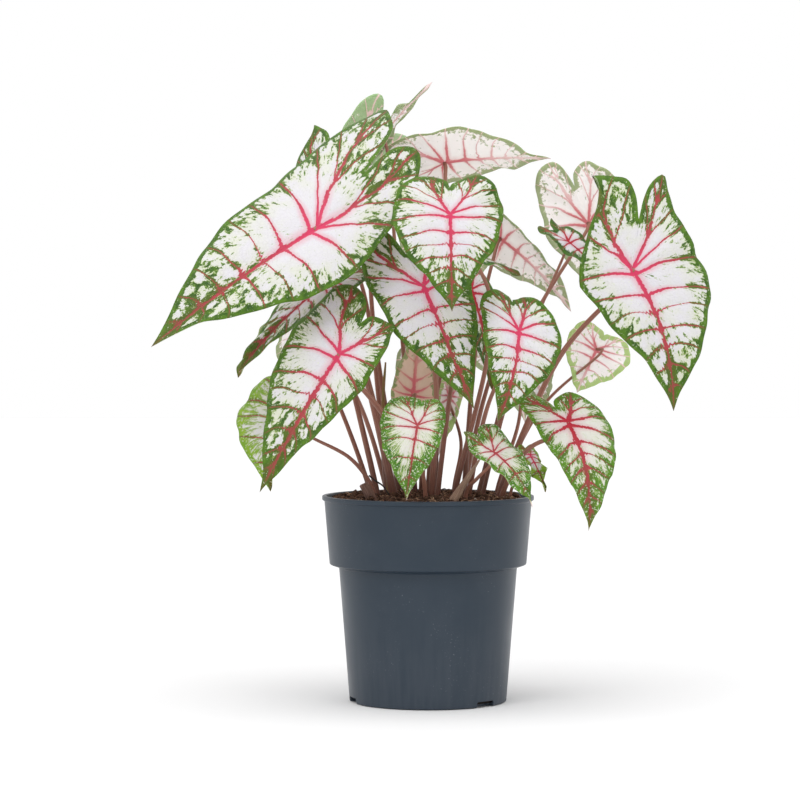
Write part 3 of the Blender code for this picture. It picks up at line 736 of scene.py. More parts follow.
class Blade:
    """The bent surface of one leaf: place() takes a flat point to its place in space."""

    def __init__(self, leaf, seed):
        self.at = Vector(leaf["at"])
        chord = Vector(leaf["tip"]) - self.at
        self.along = chord.normalized()
        face = Vector(leaf["face"])
        self.face = (face - self.along * face.dot(self.along)).normalized()
        self.across = self.face.cross(self.along)
        self.sag = math.radians(leaf.get("sag", SAG))
        self.back = math.radians(leaf.get("back", BACK))
        self.fold = math.radians(leaf.get("fold", FOLD))
        self.curl = math.radians(CURL)
        self.lean = math.tan(math.radians(leaf.get("lean", 0)))
        self.bow = leaf.get("bow", 0.0)
        self.length = chord.length / arc(1.0, -0.5 * self.sag, 0.5 * self.sag)[0]
        self.right = leaf["right"]
        self.left = leaf["left"]
        self.notch = leaf["notch"]
        draw = random.Random(seed)
        self.phases = [draw.uniform(0, FULL_TURN) for _ in range(4)]

    def outline(self, count):
        """Flat points round the blade, from the tip down the right side to the notch and back."""
        right = blade_side(self.length, self.right, self.notch, count)
        left = blade_side(self.length, self.left, self.notch, count)
        flipped = [Vector((p.x, -p.y, 0)) for p in reversed(left)]
        return right + flipped[1:-1]

    def place(self, flat, ring, turn):
        """Space for a flat point, with ring 0 at the stalk and 1 at the margin."""
        part = max(flat.x / self.length, 0.0)
        along, across = flat.x, flat.y - self.lean * min(flat.x, 0) + 4 * self.bow * part * (1 - part)
        first = -0.5 * self.sag
        if along >= 0:
            last = first + self.sag * along / self.length
            level, drop = arc(along, first, last)
        else:
            last = first - self.back * -along / max(self.right[1], self.left[1])
            level, drop = arc(-along, first, last)
            level, drop = -level, -drop
        middle = self.at + self.along * level - self.face * drop
        up = self.face * math.cos(last) + self.along * math.sin(last)
        half = self.right[0] if across > 0 else self.left[0]
        out, rise = arc(abs(across), self.fold, self.fold - self.curl * abs(across) / half)
        side = self.across if across > 0 else -self.across
        return middle + side * out + up * (rise + self.ripple(ring, turn))

    def ripple(self, ring, turn):
        """The height of the margin's waves."""
        *shifts, last_shift = self.phases
        waves = sum(size * math.sin(count * turn + shift) for (size, count), shift in zip(RIPPLES, shifts))
        calmer = 1 - RIPPLE_CALM + RIPPLE_CALM * math.sin(turn + last_shift)
        return RIPPLE_HEIGHT * ring**RIPPLE_POWER * waves * calmer


lengths = [Blade(leaf, 0).length for leaf in LEAVES.values()]
print("blades from joint to tip:", round(min(lengths)), "to", round(max(lengths)), "mm")

# %% [markdown]
# ## The line of a stalk
# A real stalk leaves the soil steeply, leans out and bends over just under its blade. It is a tube
# along a smooth curve through a few points: the foot in its hole, a bend on the way, and the joint.
# A curve object with a round bevel would do as well, but a tube of points can carry the numbers that
# its finish reads.

# %% Tubes and stalk lines
HOLE_DEPTH = 22.0
SOIL_TOP = 157.0
STALK_SET = 0.5
STALK_THIN = 1.1
STALK_GROWTH = 0.0155
STALK_TAPER = 0.55
FOOT_LEAN = 0.15
FOOT_RISE = 12.0
UNDER_BLADE = 9.0
BLADE_DIP = 5.0


def tube(path, radii, sides):
    """Points and faces of a closed tube along a path."""
    along = (path[1] - path[0]).normalized()
    side = along.orthogonal().normalized()
    points, faces = [], []
    for k, here in enumerate(path):
        along = (path[min(k + 1, len(path) - 1)] - path[max(k - 1, 0)]).normalized()
        side = (side - along * side.dot(along)).normalized()
        across = along.cross(side)
        for j in range(sides):
            turn = FULL_TURN * j / sides
            points.append(here + radii[k] * (side * math.cos(turn) + across * math.sin(turn)))
    for k in range(len(path) - 1):
        low, high = k * sides, (k + 1) * sides
        for j in range(sides):
            after = (j + 1) % sides
            faces.append((low + j, low + after, high + after, high + j))
    faces.append(tuple(reversed(range(sides))))
    faces.append(tuple(range(len(points) - sides, len(points))))
    return points, faces


def stalk_line(leaf, blade, normal, count):
    """Points from inside the soil to the underside of the blade."""
    foot_x, foot_y = leaf["foot"]
    foot = Vector((foot_x, foot_y, SOIL_TOP - HOLE_DEPTH))
    via = Vector(leaf["via"])
    rise = Vector((FOOT_LEAN * (via.x - foot_x), FOOT_LEAN * (via.y - foot_y), HOLE_DEPTH + FOOT_RISE))
    joint = blade.at - normal * STALK_SET
    below = blade.at - normal * UNDER_BLADE + Vector((0, 0, -BLADE_DIP))
    return smooth_curve([foot, foot + rise, via, below, joint], count)


def stalk_radii(blade, count):
    """From the foot's radius, larger under a longer blade, to the top's."""
    foot = STALK_THIN + STALK_GROWTH * blade.length
    return [foot * (1 - (1 - STALK_TAPER) * k / (count - 1)) for k in range(count)]


print("the thickest stalk:", round(2 * (STALK_THIN + STALK_GROWTH * max(lengths)), 1), "mm at its foot")

# %% [markdown]
# ## Veins, worked out on the flat blade
# On the real leaf a midrib runs to the tip, one strong rib runs into each lobe, and side ribs leave the
# stalk's joint and the midrib in turn. Each rib is a gentle curve on the flat blade from where it
# starts to a point on the outline. A point's distance to the nearest rib, counted in rib widths and
# with its sign changing at each rib it passes, stays exact between mesh points, so that thin ribs stay
# thin lines whatever the mesh.

# %% Ribs on the flat blade
# Each side rib: where it starts along the midrib, as a share of its length, where it ends along the
# outline, as 0 at the tip, 1 at the lobe's end and 2 in the notch, its half width at the start and at
# the margin, in millimetres, and how far it bows towards the lobe, as a share of its length.
MAIN_RIBS = (
    (0.68, 0.14, 0.50, 0.20, 0.17),
    (0.44, 0.31, 0.70, 0.25, 0.17),
    (0.20, 0.48, 1.00, 0.32, 0.15),
    (0.04, 0.60, 1.30, 0.40, 0.10),
    (0.00, 0.75, 1.15, 0.38, 0.05),
)
# Only larger leaves show these lesser ribs between the main ones.
LESSER_RIBS = (
    (0.81, 0.07, 0.30, 0.16, 0.15),
    (0.56, 0.22, 0.34, 0.16, 0.17),
    (0.32, 0.40, 0.38, 0.16, 0.15),
)
LARGE_LEAF = 75.0
# The lobe's own rib, and the pairs of branches that leave it: where along it they start, and where
# the outer and the inner branch of the pair end along the outline.
LOBE_RIB = (0.00, 1.00, 1.50, 0.50, -0.10)
LOBE_PAIRS = ((0.34, 0.84, 1.55), (0.62, 0.925, 1.22))
BRANCH_WIDTHS = (0.50, 0.24)
BRANCH_BOW = 0.08
RIB_STEPS = 14
FAR_OFF = 1e6


def rib_curve(start, end, sweep):
    """A curve on the flat blade that bows by this share of its length, as an array of points."""
    middle = 0.5 * (start + end) + sweep * np.array([-(end - start)[1], (end - start)[0]])
    t = np.linspace(0, 1, RIB_STEPS)[:, None]
    return (1 - t) ** 2 * start + 2 * t * (1 - t) * middle + t**2 * end


def to_curve(points, curve):
    """For each point: its distance to the curve, the side it lies on and how far along it is."""
    begin, step = curve[:-1], curve[1:] - curve[:-1]
    gap = points[:, None, :] - begin[None]
    share = np.clip((gap * step).sum(-1) / (step * step).sum(-1), 0, 1)
    away = np.linalg.norm(gap - share[..., None] * step, axis=-1)
    near = away.argmin(axis=1)
    row = np.arange(len(points))
    side = step[near, 0] * gap[row, near, 1] - step[near, 1] * gap[row, near, 0]
    return away[row, near], side, (near + share[row, near]) / len(begin)


def rib_field(flat, outline_side, length, girth):
    """The signed distance to the nearest rib, in rib widths, for points of one side (across >= 0)."""
    lobe, notch = outline_side[:, 0].argmin(), len(outline_side) - 1

    def rim(end):
        return outline_side[round(lobe * end if end <= 1 else lobe + (notch - lobe) * (end - 1))]

    def against(start, goal, wide, thin, bow):
        away, side, along = to_curve(flat, rib_curve(start, goal, bow))
        return away / (girth * (wide + (thin - wide) * along)), side < 0, along > 0

    best = np.full(len(flat), FAR_OFF)
    passed = np.zeros(len(flat), int)
    for start, end, *form in MAIN_RIBS + (LESSER_RIBS if length > LARGE_LEAF else ()):
        away, beyond, _ = against(np.array([start * length, 0.0]), rim(end), *form)
        best = np.minimum(best, away)
        passed += beyond
    _, end, *form = LOBE_RIB
    away, outer, _ = against(np.zeros(2), rim(end), *form)
    best = np.minimum(best, away)
    passed += outer
    lobe_line = rib_curve(np.zeros(2), rim(end), form[-1])
    for share, outer_end, inner_end in LOBE_PAIRS:
        fork = lobe_line[round(share * (RIB_STEPS - 1))]
        away, in_front, begun = against(fork, rim(outer_end), *BRANCH_WIDTHS, BRANCH_BOW)
        best = np.minimum(best, np.where(outer, away, FAR_OFF))
        passed += outer & (in_front | ~begun)
        away, behind, begun = against(fork, rim(inner_end), *BRANCH_WIDTHS, -BRANCH_BOW)
        best = np.minimum(best, np.where(outer, FAR_OFF, away))
        passed += ~outer & ~(behind & begun)
    return np.where(passed % 2 == 0, best, -best)


print("ribs in half a large blade:", len(MAIN_RIBS) + len(LESSER_RIBS) + 1 + 2 * len(LOBE_PAIRS))

# %% [markdown]
# Real ribs wander a little on their way. The flat points are pushed about by a few slow waves before
# their distance to the ribs is taken, which bends every rib at once and leaves the outline alone.

# %% The numbers that each blade carries
MIDRIB_WIDTHS = (1.7, 0.55)
GIRTH_LENGTH = 100.0
WANDER = 1.1
SMALL_WANDER = 0.45
# How far, in millimetres, each wave takes to turn by one radian along the blade and across it.
SLOW_X, SLOW_Y = (8.3, 6.9), (7.1, 9.7)
QUICK_X, QUICK_Y = (3.6, 4.4), (4.1, 3.3)
CALM_MIDDLE = 25.0
CALM_MIDRIB = 6.0
EDGE_PARTS = 8


def wandering(flat, seed):
    """The flat points pushed about a little, so that ribs drawn through them wander."""
    x, y = flat[:, 0], flat[:, 1]
    small_x = np.sin(x / QUICK_X[0] - y / QUICK_X[1] + seed)
    small_y = np.sin(x / QUICK_Y[0] + y / QUICK_Y[1] - seed)
    push_x = np.sin(x / SLOW_X[0] + seed) * np.cos(y / SLOW_X[1] + 2 * seed) + SMALL_WANDER * small_x
    push_y = np.cos(x / SLOW_Y[0] - seed) * np.sin(y / SLOW_Y[1] + seed) + SMALL_WANDER * small_y
    calm = np.clip(np.hypot(x, y) / CALM_MIDDLE, 0, 1) * np.clip(np.abs(y) / CALM_MIDRIB, 0, 1)
    return flat + WANDER * np.column_stack([push_x, push_y]) * calm[:, None]


def vein_numbers(blade, flat, outline, seed):
    """For every point of the flat blade: its rib field, its distance to the margin and its reach."""
    count = len(outline)
    right = outline[: count // 2 + 1]
    left = np.vstack([outline[:1], outline[: count // 2 - 1 : -1]]) * [1, -1]
    girth = math.sqrt(blade.length / GIRTH_LENGTH)
    moved = wandering(flat, seed)
    folded = np.column_stack([moved[:, 0], np.abs(moved[:, 1])])
    halves = [rib_field(folded, side, blade.length, girth) for side in (right, left)]
    field = np.where(flat[:, 1] >= 0, *halves)
    share = np.clip(flat[:, 0] / blade.length, 0, 1)
    middle = girth * (MIDRIB_WIDTHS[0] + (MIDRIB_WIDTHS[1] - MIDRIB_WIDTHS[0]) * share)
    behind = np.where(flat[:, 0] < 0, -flat[:, 0], 0)
    midrib = np.hypot(folded[:, 1], behind) / middle
    field = np.where(midrib < np.abs(field), np.where(field < 0, -midrib, midrib), field)
    closed = np.vstack([outline, outline[:1]])
    edge = np.concatenate([to_curve(part, closed)[0] for part in np.array_split(flat, EDGE_PARTS)])
    far = np.hypot(flat[:, 0], flat[:, 1])
    return field, edge, far / (far + edge + TINY)


print("a midrib is", MIDRIB_WIDTHS[0], "mm to each side at the joint and", MIDRIB_WIDTHS[1], "at the tip")

# %% [markdown]
# ## The fine leaves
# The blade is the same bent surface as the solid one, cut finer and thinner. Between the ribs it
# swells a little, along them it sinks, and underneath the ribs stand out as cords: that is modelled,
# because light from the side shows it. Its margin is drawn in by shallow scallops, never out past the
# solid's.

# %% The net of a flat blade
FINE_PER_MM = 0.55
FINE_SIDE = (56, 96)
FINE_RINGS = (20, 34)
RING_LENGTH = 5.0
RING_SPREAD = 0.9
EDGE_INSET = 1.3
SCALLOPS = 9
SMALL_SCALLOPS = 21
SMALL_SHARE = 0.45
SCALLOP_DEPTH = 0.019


def within(value, limits):
    return int(min(max(value, limits[0]), limits[1]))


def scalloped(outline, length, seed):
    """The flat outline drawn in by scallops, none at the tip and the notch."""
    bends = np.arange(len(outline)) * FULL_TURN / len(outline)
    small = SMALL_SHARE * (1 + np.sin(SMALL_SCALLOPS * bends + 2 * seed))
    scallops = (1 + np.sin(SCALLOPS * bends + seed)) + small
    pull = EDGE_INSET / length + SCALLOP_DEPTH * scallops * np.sqrt(np.abs(np.sin(bends)))
    return outline * (1 - pull)[:, None]


def flat_net(blade, seed):
    """Rings of flat points from the joint to the margin, with the ring and the turn of each."""
    side_points = within(blade.length * FINE_PER_MM, FINE_SIDE)
    ring_count = within(blade.length / RING_LENGTH, FINE_RINGS)
    outline = np.array([(p.x, p.y) for p in blade.outline(side_points)])
    outline = scalloped(outline, blade.length, seed)
    count = len(outline)
    shares = [(k / ring_count) ** RING_SPREAD for k in range(ring_count + 1)]
    joint = JOINT_RADIUS * 0.5 * outline / np.linalg.norm(outline, axis=1)[:, None]
    rows = [joint] + [joint + (outline - joint) * s for s in shares[1:]]
    flat = np.vstack([np.zeros((1, 2)), *rows])
    rings = np.concatenate([[0.0], np.repeat(shares, count)])
    turns = np.concatenate([[0.0], np.tile(np.arange(count) * FULL_TURN / count, ring_count + 1)])
    return outline, ring_count, flat, rings, turns


def blade_faces(count, ring_count):
    """Triangles round the joint and squares out to the margin."""
    faces = [(0, 1 + j, 1 + (j + 1) % count) for j in range(count)]
    for k in range(ring_count):
        low, high = 1 + k * count, 1 + (k + 1) * count
        for j in range(count):
            after = (j + 1) % count
            faces.append((low + j, high + j, high + after, low + after))
    return faces


def surface_normals(points, faces):
    """The mean direction of the faces round each point."""
    total = np.zeros_like(points)
    for face in (np.array([f for f in faces if len(f) == n]) for n in (3, 4)):
        a, b, c = points[face[:, 0]], points[face[:, 1]], points[face[:, 2]]
        lean = np.cross(b - a, c - a)
        if face.shape[1] == 4:
            lean = lean + np.cross(c - a, points[face[:, 3]] - a)
        for k in range(face.shape[1]):
            np.add.at(total, face[:, k], lean)
    return total / np.linalg.norm(total, axis=1)[:, None]


print("points in the largest net:", len(flat_net(Blade(LEAVES["leaf_01"], 0), 0)[2]))

# %% [markdown]
# The net is bent, and then doubled into an upper and a lower skin that meet at the margin, so that the
# blade is one closed body. Last, the numbers that steer its finish are stored on its points. The flat
# coordinates carry the leaf's own number as a third one, so that no two leaves share their noise.

# %% Blade meshes
BLADE_THIN = 0.45
QUILT = 0.55
QUILT_SPREAD = 5.0
QUILT_MARGIN = 9.0
QUILT_JOINT = 14.0
GROOVE = 0.28
CORD = 0.45
CORD_SPREAD = 1.1
CORD_END = 1.4
FAN_TURN = 75.0
FAN_REACH = 0.5
LEAF_SHIFT = 0.37


def add_numbers(mesh, name, values):
    mesh.attributes.new(name, "FLOAT", "POINT").data.foreach_set("value", np.asarray(values, np.float32))


def add_vectors(mesh, name, values):
    store = mesh.attributes.new(name, "FLOAT_VECTOR", "POINT")
    store.data.foreach_set("vector", np.asarray(values, np.float32).ravel())


def skins(middle, up, flat, field, edge, reach):
    """The upper and the lower skin: swollen between the ribs, sunk along them, corded underneath."""
    spread = np.abs(field)
    far = np.hypot(flat[:, 0], flat[:, 1])
    fade = np.clip(edge / QUILT_MARGIN, 0, 1) * np.clip(far / QUILT_JOINT, 0, 1)
    swell = QUILT * (1 - np.exp(-((spread / QUILT_SPREAD) ** 2))) * fade
    sunk = GROOVE * np.exp(-(spread**2))
    cord = CORD * np.exp(-((spread / CORD_SPREAD) ** 2)) * np.clip(CORD_END - reach, 0, 1)
    top = middle + up * (0.5 * BLADE_THIN + swell - sunk)[:, None]
    low = middle + up * (-0.5 * BLADE_THIN + swell - cord)[:, None]
    return top, low


def store_pattern(mesh, flat, field, edge, reach, seed):
    """The same numbers on both skins."""
    places = np.column_stack([np.vstack([flat, flat]) * MM, np.full(2 * len(flat), seed * LEAF_SHIFT)])
    add_vectors(mesh, "flat", places)
    turned = np.arctan2(flat[:, 1], flat[:, 0]) * FAN_TURN
    outward = np.hypot(flat[:, 0], flat[:, 1]) * FAN_REACH
    fan = np.column_stack([outward, turned, np.full(len(flat), 1000 * seed * LEAF_SHIFT)]) * MM
    add_vectors(mesh, "fan", np.vstack([fan, fan]))
    for name, values in (("edge", edge), ("rib", field), ("reach", reach)):
        add_numbers(mesh, name, np.tile(values, 2))


def fine_blade(name, leaf, seed):
    """The blade as one closed thin mesh, with its plan and the way its joint faces."""
    blade = Blade(leaf, seed)
    outline, ring_count, flat, rings, turns = flat_net(blade, seed)
    count = len(outline)
    numbers = vein_numbers(blade, flat, outline, seed)
    middle = np.array([blade.place(Vector((*p, 0)), r, t) for p, r, t in zip(flat, rings, turns)])
    faces = blade_faces(count, ring_count)
    up = surface_normals(middle, faces)
    total, outer = len(middle), 1 + ring_count * count
    all_faces = faces + [tuple(total + i for i in reversed(f)) for f in faces]
    for j in range(count):
        after = (j + 1) % count
        all_faces.append((outer + j, total + outer + j, total + outer + after, outer + after))
    piece = mesh_object(name, np.vstack(skins(middle, up, flat, *numbers)), all_faces)
    under = np.zeros(len(all_faces), int)
    under[len(faces):] = 1
    piece.data.polygons.foreach_set("material_index", under)
    store_pattern(piece.data, flat, *numbers, seed)
    return piece, blade, Vector(up[0])


print("a blade is", BLADE_THIN, "mm thick, and its ribs stand out by", CORD, "mm underneath")

# %% [markdown]
# The stalk is its own smooth tube. Its top spreads into the joint under the blade, and its thickness
# varies a little along it, as a grown thing's does.

# %% Stalk meshes and all the leaves
FINE_STALK_SIDES = 14
FINE_STALK_STEPS = 48
FLARE_STEPS = 3
FLARE = 0.28
UNEVEN = 0.05
UNEVEN_WAVES = 0.05
GRAIN_LENGTH = 0.1


def fine_tube(name, path, radii, sides=FINE_STALK_SIDES):
    """A smooth closed tube with numbers round it, along it and up it."""
    piece = mesh_object(name, *tube(path, radii, sides))
    steps = len(path)
    turn = np.tile(np.arange(sides) * FULL_TURN / sides, steps)
    reach = np.concatenate([[0.0], np.cumsum([(q - p).length for p, q in zip(path, path[1:])])])
    along = np.repeat(reach, sides)
    add_vectors(piece.data, "grain", np.column_stack([np.cos(turn), np.sin(turn), along * GRAIN_LENGTH]))
    add_numbers(piece.data, "rise", np.repeat(np.linspace(0, 1, steps), sides))
    return piece


def fine_stalk(name, leaf, blade, normal):
    path = stalk_line(leaf, blade, normal, FINE_STALK_STEPS)
    radii = stalk_radii(blade, len(path))
    for k in range(FLARE_STEPS):
        radii[-1 - k] *= 1 + FLARE * (FLARE_STEPS - k) / FLARE_STEPS
    for k in range(len(radii)):
        radii[k] *= 1 + UNEVEN * noise.noise(Vector(path[k]) * UNEVEN_WAVES)
    return fine_tube(name, path, radii)


for seed, (name, leaf) in enumerate(LEAVES.items()):
    blade_piece, blade, normal = fine_blade(f"{name}_blade", leaf, seed)
    finish_piece(blade_piece, name, "leaf", *blade_finishes[TEMPERS.get(name, "open")])
    finish_piece(fine_stalk(f"{name}_stalk", leaf, blade, normal), name, "leaf", stalk_finish)

# %% [markdown]
# ## The pot's finish
# A nursery pot is blown or moulded from dark plastic. Its skin is slightly satin, with a very fine
# grain, faint flow streaks and a little pale dust low down, and pale specks scattered over it.

# %% Pot plastic
POT_BLUE = (0.021, 0.034, 0.050)
POT_WORN = (0.046, 0.058, 0.075)
POT_DUST = (0.22, 0.24, 0.27)
POT_WAVES = 22.0
FLOW_WAVES = 160.0
FLOW_STRETCH = (1.0, 1.0, 0.06)
DUST_SHARE = 0.5
SPECK_WAVES = 700.0
GRAIN_WAVES = 1500.0
LOW_WEAR = 0.10
POT_GLOSS = (0.30, 0.44)
GRAIN_BUMP = 0.08
GRAIN_DEPTH = 0.0002


def pot_plastic():
    finish = Finish("pot_plastic", roughness=0.42, specular=0.28)
    here = finish.place()
    cloud = finish.clouds(here, POT_WAVES, detail=4.0)
    streaks = finish.clouds(finish.stretched(here, FLOW_STRETCH), FLOW_WAVES, detail=3.0)
    low = finish.ramp(finish.height(here), 0.0, LOW_WEAR, 0.75, 0.0)
    body = finish.blend(finish.ramp(cloud, 0.3, 0.75, 0.0, 0.35), POT_BLUE, POT_WORN)
    body = finish.blend(finish.times(low, finish.ramp(streaks, *NOISE_SPAN, 0.3, 1.0)), body, POT_WORN)
    specks = finish.clouds(here, SPECK_WAVES, detail=2.0)
    specks = finish.times(finish.ramp(specks, 0.66, 0.74), finish.ramp(cloud, 0.45, 0.7))
    finish.colour(finish.blend(finish.times(specks, DUST_SHARE), body, POT_DUST))
    finish.gloss(cloud, 0.25, 0.75, *POT_GLOSS)
    finish.bumps(finish.clouds(here, GRAIN_WAVES, detail=2.0), GRAIN_BUMP, GRAIN_DEPTH)
    return finish.material


pot_finish = pot_plastic()
print("nodes in the pot's plastic:", len(pot_finish.node_tree.nodes))

# %% [markdown]
# ## The pot
# The real one is round, so it is spun: a short outline of the wall, from the middle of the floor out
# over the rim and back inside, is turned round the axis. Its corners are rounded first, because a
# moulded lip catches the light in a thin bright line.

# %% The pot's outline and its spin
POT_HEIGHT = 165.0
RIM_RADIUS = 85.0
COLLAR_RADIUS = 79.0
COLLAR_DROP = 55.0
STEP_HEIGHT = POT_HEIGHT - COLLAR_DROP
STEP_RADIUS = 71.5
BASE_RADIUS = 63.0
FLOOR = 2.0
WALL = 1.6
LIP_DROP = 4.0
LIP_OUT = 1.8
POT_STEPS = 160
WELD = 0.02
# Each corner: its distance from the axis, its height and the radius that it is rounded by.
POT_LINE = (
    (0.0, 0.0, 0.0), (BASE_RADIUS, 0.0, 1.2),
    (STEP_RADIUS, STEP_HEIGHT - 2.6, 1.0), (COLLAR_RADIUS, STEP_HEIGHT, 1.0),
    (RIM_RADIUS - LIP_OUT, POT_HEIGHT - LIP_DROP, 0.8), (RIM_RADIUS, POT_HEIGHT - LIP_DROP + 0.5, 0.7),
    (RIM_RADIUS, POT_HEIGHT, 1.1), (RIM_RADIUS - LIP_OUT - WALL, POT_HEIGHT, 0.8),
    (COLLAR_RADIUS - WALL, STEP_HEIGHT + 1.5, 1.0), (STEP_RADIUS - WALL, STEP_HEIGHT - 2.0, 1.0),
    (BASE_RADIUS - WALL, FLOOR, 1.5), (0.0, FLOOR, 0.0),
)


def rounded_line(corners, steps=4):
    """The outline with each corner (x, z, radius) rounded by that radius."""
    line = []
    for k, (x, z, radius) in enumerate(corners):
        here = Vector((x, 0, z))
        if radius == 0:
            line.append(here)
            continue
        before = Vector((corners[k - 1][0], 0, corners[k - 1][1]))
        after = Vector((corners[k + 1][0], 0, corners[k + 1][1]))
        enter = here + (before - here).normalized() * radius
        leave = here + (after - here).normalized() * radius
        for j in range(steps + 1):
            t = j / steps
            line.append((1 - t) ** 2 * enter + 2 * t * (1 - t) * here + t * t * leave)
    return line


def spin_outline(name, line, steps):
    """The outline, in millimetres, spun once round the z axis into a closed body."""
    mesh = bpy.data.meshes.new(name)
    mesh.from_pydata([p * MM for p in line], [(k, k + 1) for k in range(len(line) - 1)], [])
    piece = linked_object(name, mesh)
    select_only(piece)
    bpy.ops.object.mode_set(mode="EDIT")
    bpy.ops.mesh.select_all(action="SELECT")
    bpy.ops.mesh.spin(steps=steps, angle=FULL_TURN, center=(0, 0, 0), axis=(0, 0, 1))
    bpy.ops.mesh.select_all(action="SELECT")
    bpy.ops.mesh.remove_doubles(threshold=WELD * MM)
    bpy.ops.mesh.normals_make_consistent(inside=False)
    bpy.ops.object.mode_set(mode="OBJECT")
    return piece


pot = spin_outline("nursery_pot", rounded_line(POT_LINE), POT_STEPS)
print("pot faces after the spin:", len(pot.data.polygons))

# %% [markdown]
# Water leaves the real pot by wide notches at its foot, where the wall meets the floor. Each is cut
# by a small block with bevelled edges, set across the wall. A Boolean does it in one step, and keeps
# the cut's corners softly rounded, as in a moulded part.

# %% The drain notches
NOTCHES = 3
FIRST_NOTCH = math.radians(76)
NOTCH_WIDTH = 19.0
NOTCH_HEIGHT = 4.5
NOTCH_DEPTH = 6.0
NOTCH_BEVEL = 1.2
NOTCH_BEVEL_STEPS = 3
SHARP_ANGLE = math.radians(40)


def notch_cutter(turn):
    deselect_all()
    place = Vector((math.cos(turn), math.sin(turn), 0)) * BASE_RADIUS * MM
    bpy.ops.mesh.primitive_cube_add(size=1, location=place, rotation=(0, 0, turn))
    cutter = bpy.context.object
    cutter.scale = (2 * NOTCH_DEPTH * MM, NOTCH_WIDTH * MM, 2 * NOTCH_HEIGHT * MM)
    bpy.ops.object.transform_apply(location=True, rotation=True, scale=True)
    bpy.ops.object.mode_set(mode="EDIT")
    bpy.ops.mesh.bevel(offset=NOTCH_BEVEL * MM, segments=NOTCH_BEVEL_STEPS, affect="EDGES")
    bpy.ops.object.mode_set(mode="OBJECT")
    return cutter


def cut_with(piece, cutters):
    """Cut the joined cutters out of the piece."""
    select_only(cutters[0])
    for cutter in cutters:
        cutter.select_set(True)
    bpy.ops.object.join()
    cut = piece.modifiers.new("cut", "BOOLEAN")
    cut.operation = "DIFFERENCE"
    cut.object = cutters[0]
    select_only(piece)
    bpy.ops.object.modifier_apply(modifier="cut")
    bpy.data.objects.remove(cutters[0])


cut_with(pot, [notch_cutter(FIRST_NOTCH + FULL_TURN * k / NOTCHES) for k in range(NOTCHES)])
select_only(pot)
bpy.ops.object.shade_smooth_by_angle(angle=SHARP_ANGLE)
finish_piece(pot, "pot", "pot_plastic", pot_finish)
print("pot faces with its notches:", len(pot.data.polygons))

# %% [markdown]
# ## The soil
# Potting mix for such plants is brown peat with coir: lumps, crumbs and short curly fibres, and a
# white grain here and there. One recipe of a dark and a light brown with brighter bits, in four sets
# of colours, gives the bed, its crumbs, its fibres and its grains. Low down it turns dark and wet.

# %% Soil finishes
PEAT_WET = (0.008, 0.006, 0.005)
PEAT_DARK = (0.030, 0.014, 0.009)
PEAT_BROWN = (0.110, 0.056, 0.034)
PEAT_RED = (0.24, 0.125, 0.078)
FIBRE_TAN = (0.52, 0.33, 0.215)
GRAIN_WHITES = ((0.6, 0.57, 0.5), (0.78, 0.75, 0.68), (0.7, 0.66, 0.6))
PEAT_WAVES = 260.0
BIT_WAVES = 900.0
WET_HEIGHTS = (0.02, 0.06)
PEAT_BUMP = 0.7
PEAT_DEPTH = 0.001


def peat(name, low, high, accent):
    finish = Finish(name, roughness=0.95, specular=0.2)
    here = finish.place()
    lumps = finish.clouds(here, PEAT_WAVES, detail=5.0, rough=0.7)
    bits = finish.clouds(here, BIT_WAVES, detail=2.0)
    body = finish.blend(finish.ramp(lumps, *TIGHT_SPAN), low, high)
    body = finish.blend(finish.ramp(bits, 0.58, 0.7, 0.0, 0.8), body, accent)
    wet = finish.ramp(finish.height(here), *WET_HEIGHTS, 0.85, 0.0)
    finish.colour(finish.blend(wet, body, PEAT_WET))
    finish.bumps(finish.plus(lumps, bits), PEAT_BUMP, PEAT_DEPTH)
    return finish.material


peat_finish = peat("peat", PEAT_WET, PEAT_BROWN, PEAT_RED)
crumb_finish = peat("peat_crumb", PEAT_DARK, PEAT_BROWN, PEAT_RED)
fibre_finish = peat("coir_fibre", PEAT_BROWN, FIBRE_TAN, FIBRE_TAN)
grain_finish = peat("white_grain", *GRAIN_WHITES)
print("a lump of peat is about", round(1000 / PEAT_WAVES, 1), "mm across in the finish")

# %% [markdown]
# ## The soil bed
# The bed is one body on the solid's own sides: the inside of the pot less a small gap. It is spun like
# the pot, with many rings across its top, and the top's points are then raised by a few waves and some
# noise. A real bed is heaped a little where the shop has filled it up round the stalks.

# %% The bed and its lumpy top
SOIL_GAP = 0.3
SOIL_MOUND = 1.6
SOIL_HEAP = 6.4
ROLL_SHARE = 0.6
LUMP_SHARE = 0.4
# How far, in millimetres, each wave of the bed takes to turn by one radian.
ROLLS = (11.0, 9.0)
ROLL_STARTS = (0.6, -0.4)
LUMPS_X, LUMPS_Y = (4.7, 6.1), (8.9, 5.3)
MIDDLE_RISE = 2.5
MIDDLE_SPREAD = 1800.0
EDGE_FADE = 8.0
# Clods: how far they rise, their width, and the layer of the noise that they are taken from.
CLODS = (1.6, 5.0, 3.0)
SMALL_CLODS = (0.8, 2.1, 7.0)
BED_STEPS = 120
BED_RINGS = 44
SKIN_BELOW = 0.1
FOOT_ROUND = (2.1, 1.8)
STEP_EASE = 2.0


def wall_inside(height):
    """The pot's inside radius at this height."""
    if height >= STEP_HEIGHT:
        rise = (height - STEP_HEIGHT) / COLLAR_DROP
        return COLLAR_RADIUS + (RIM_RADIUS - LIP_OUT - COLLAR_RADIUS) * rise - WALL
    return BASE_RADIUS + (STEP_RADIUS - BASE_RADIUS) * height / STEP_HEIGHT - WALL


BED_EDGE = wall_inside(SOIL_TOP) - SOIL_GAP


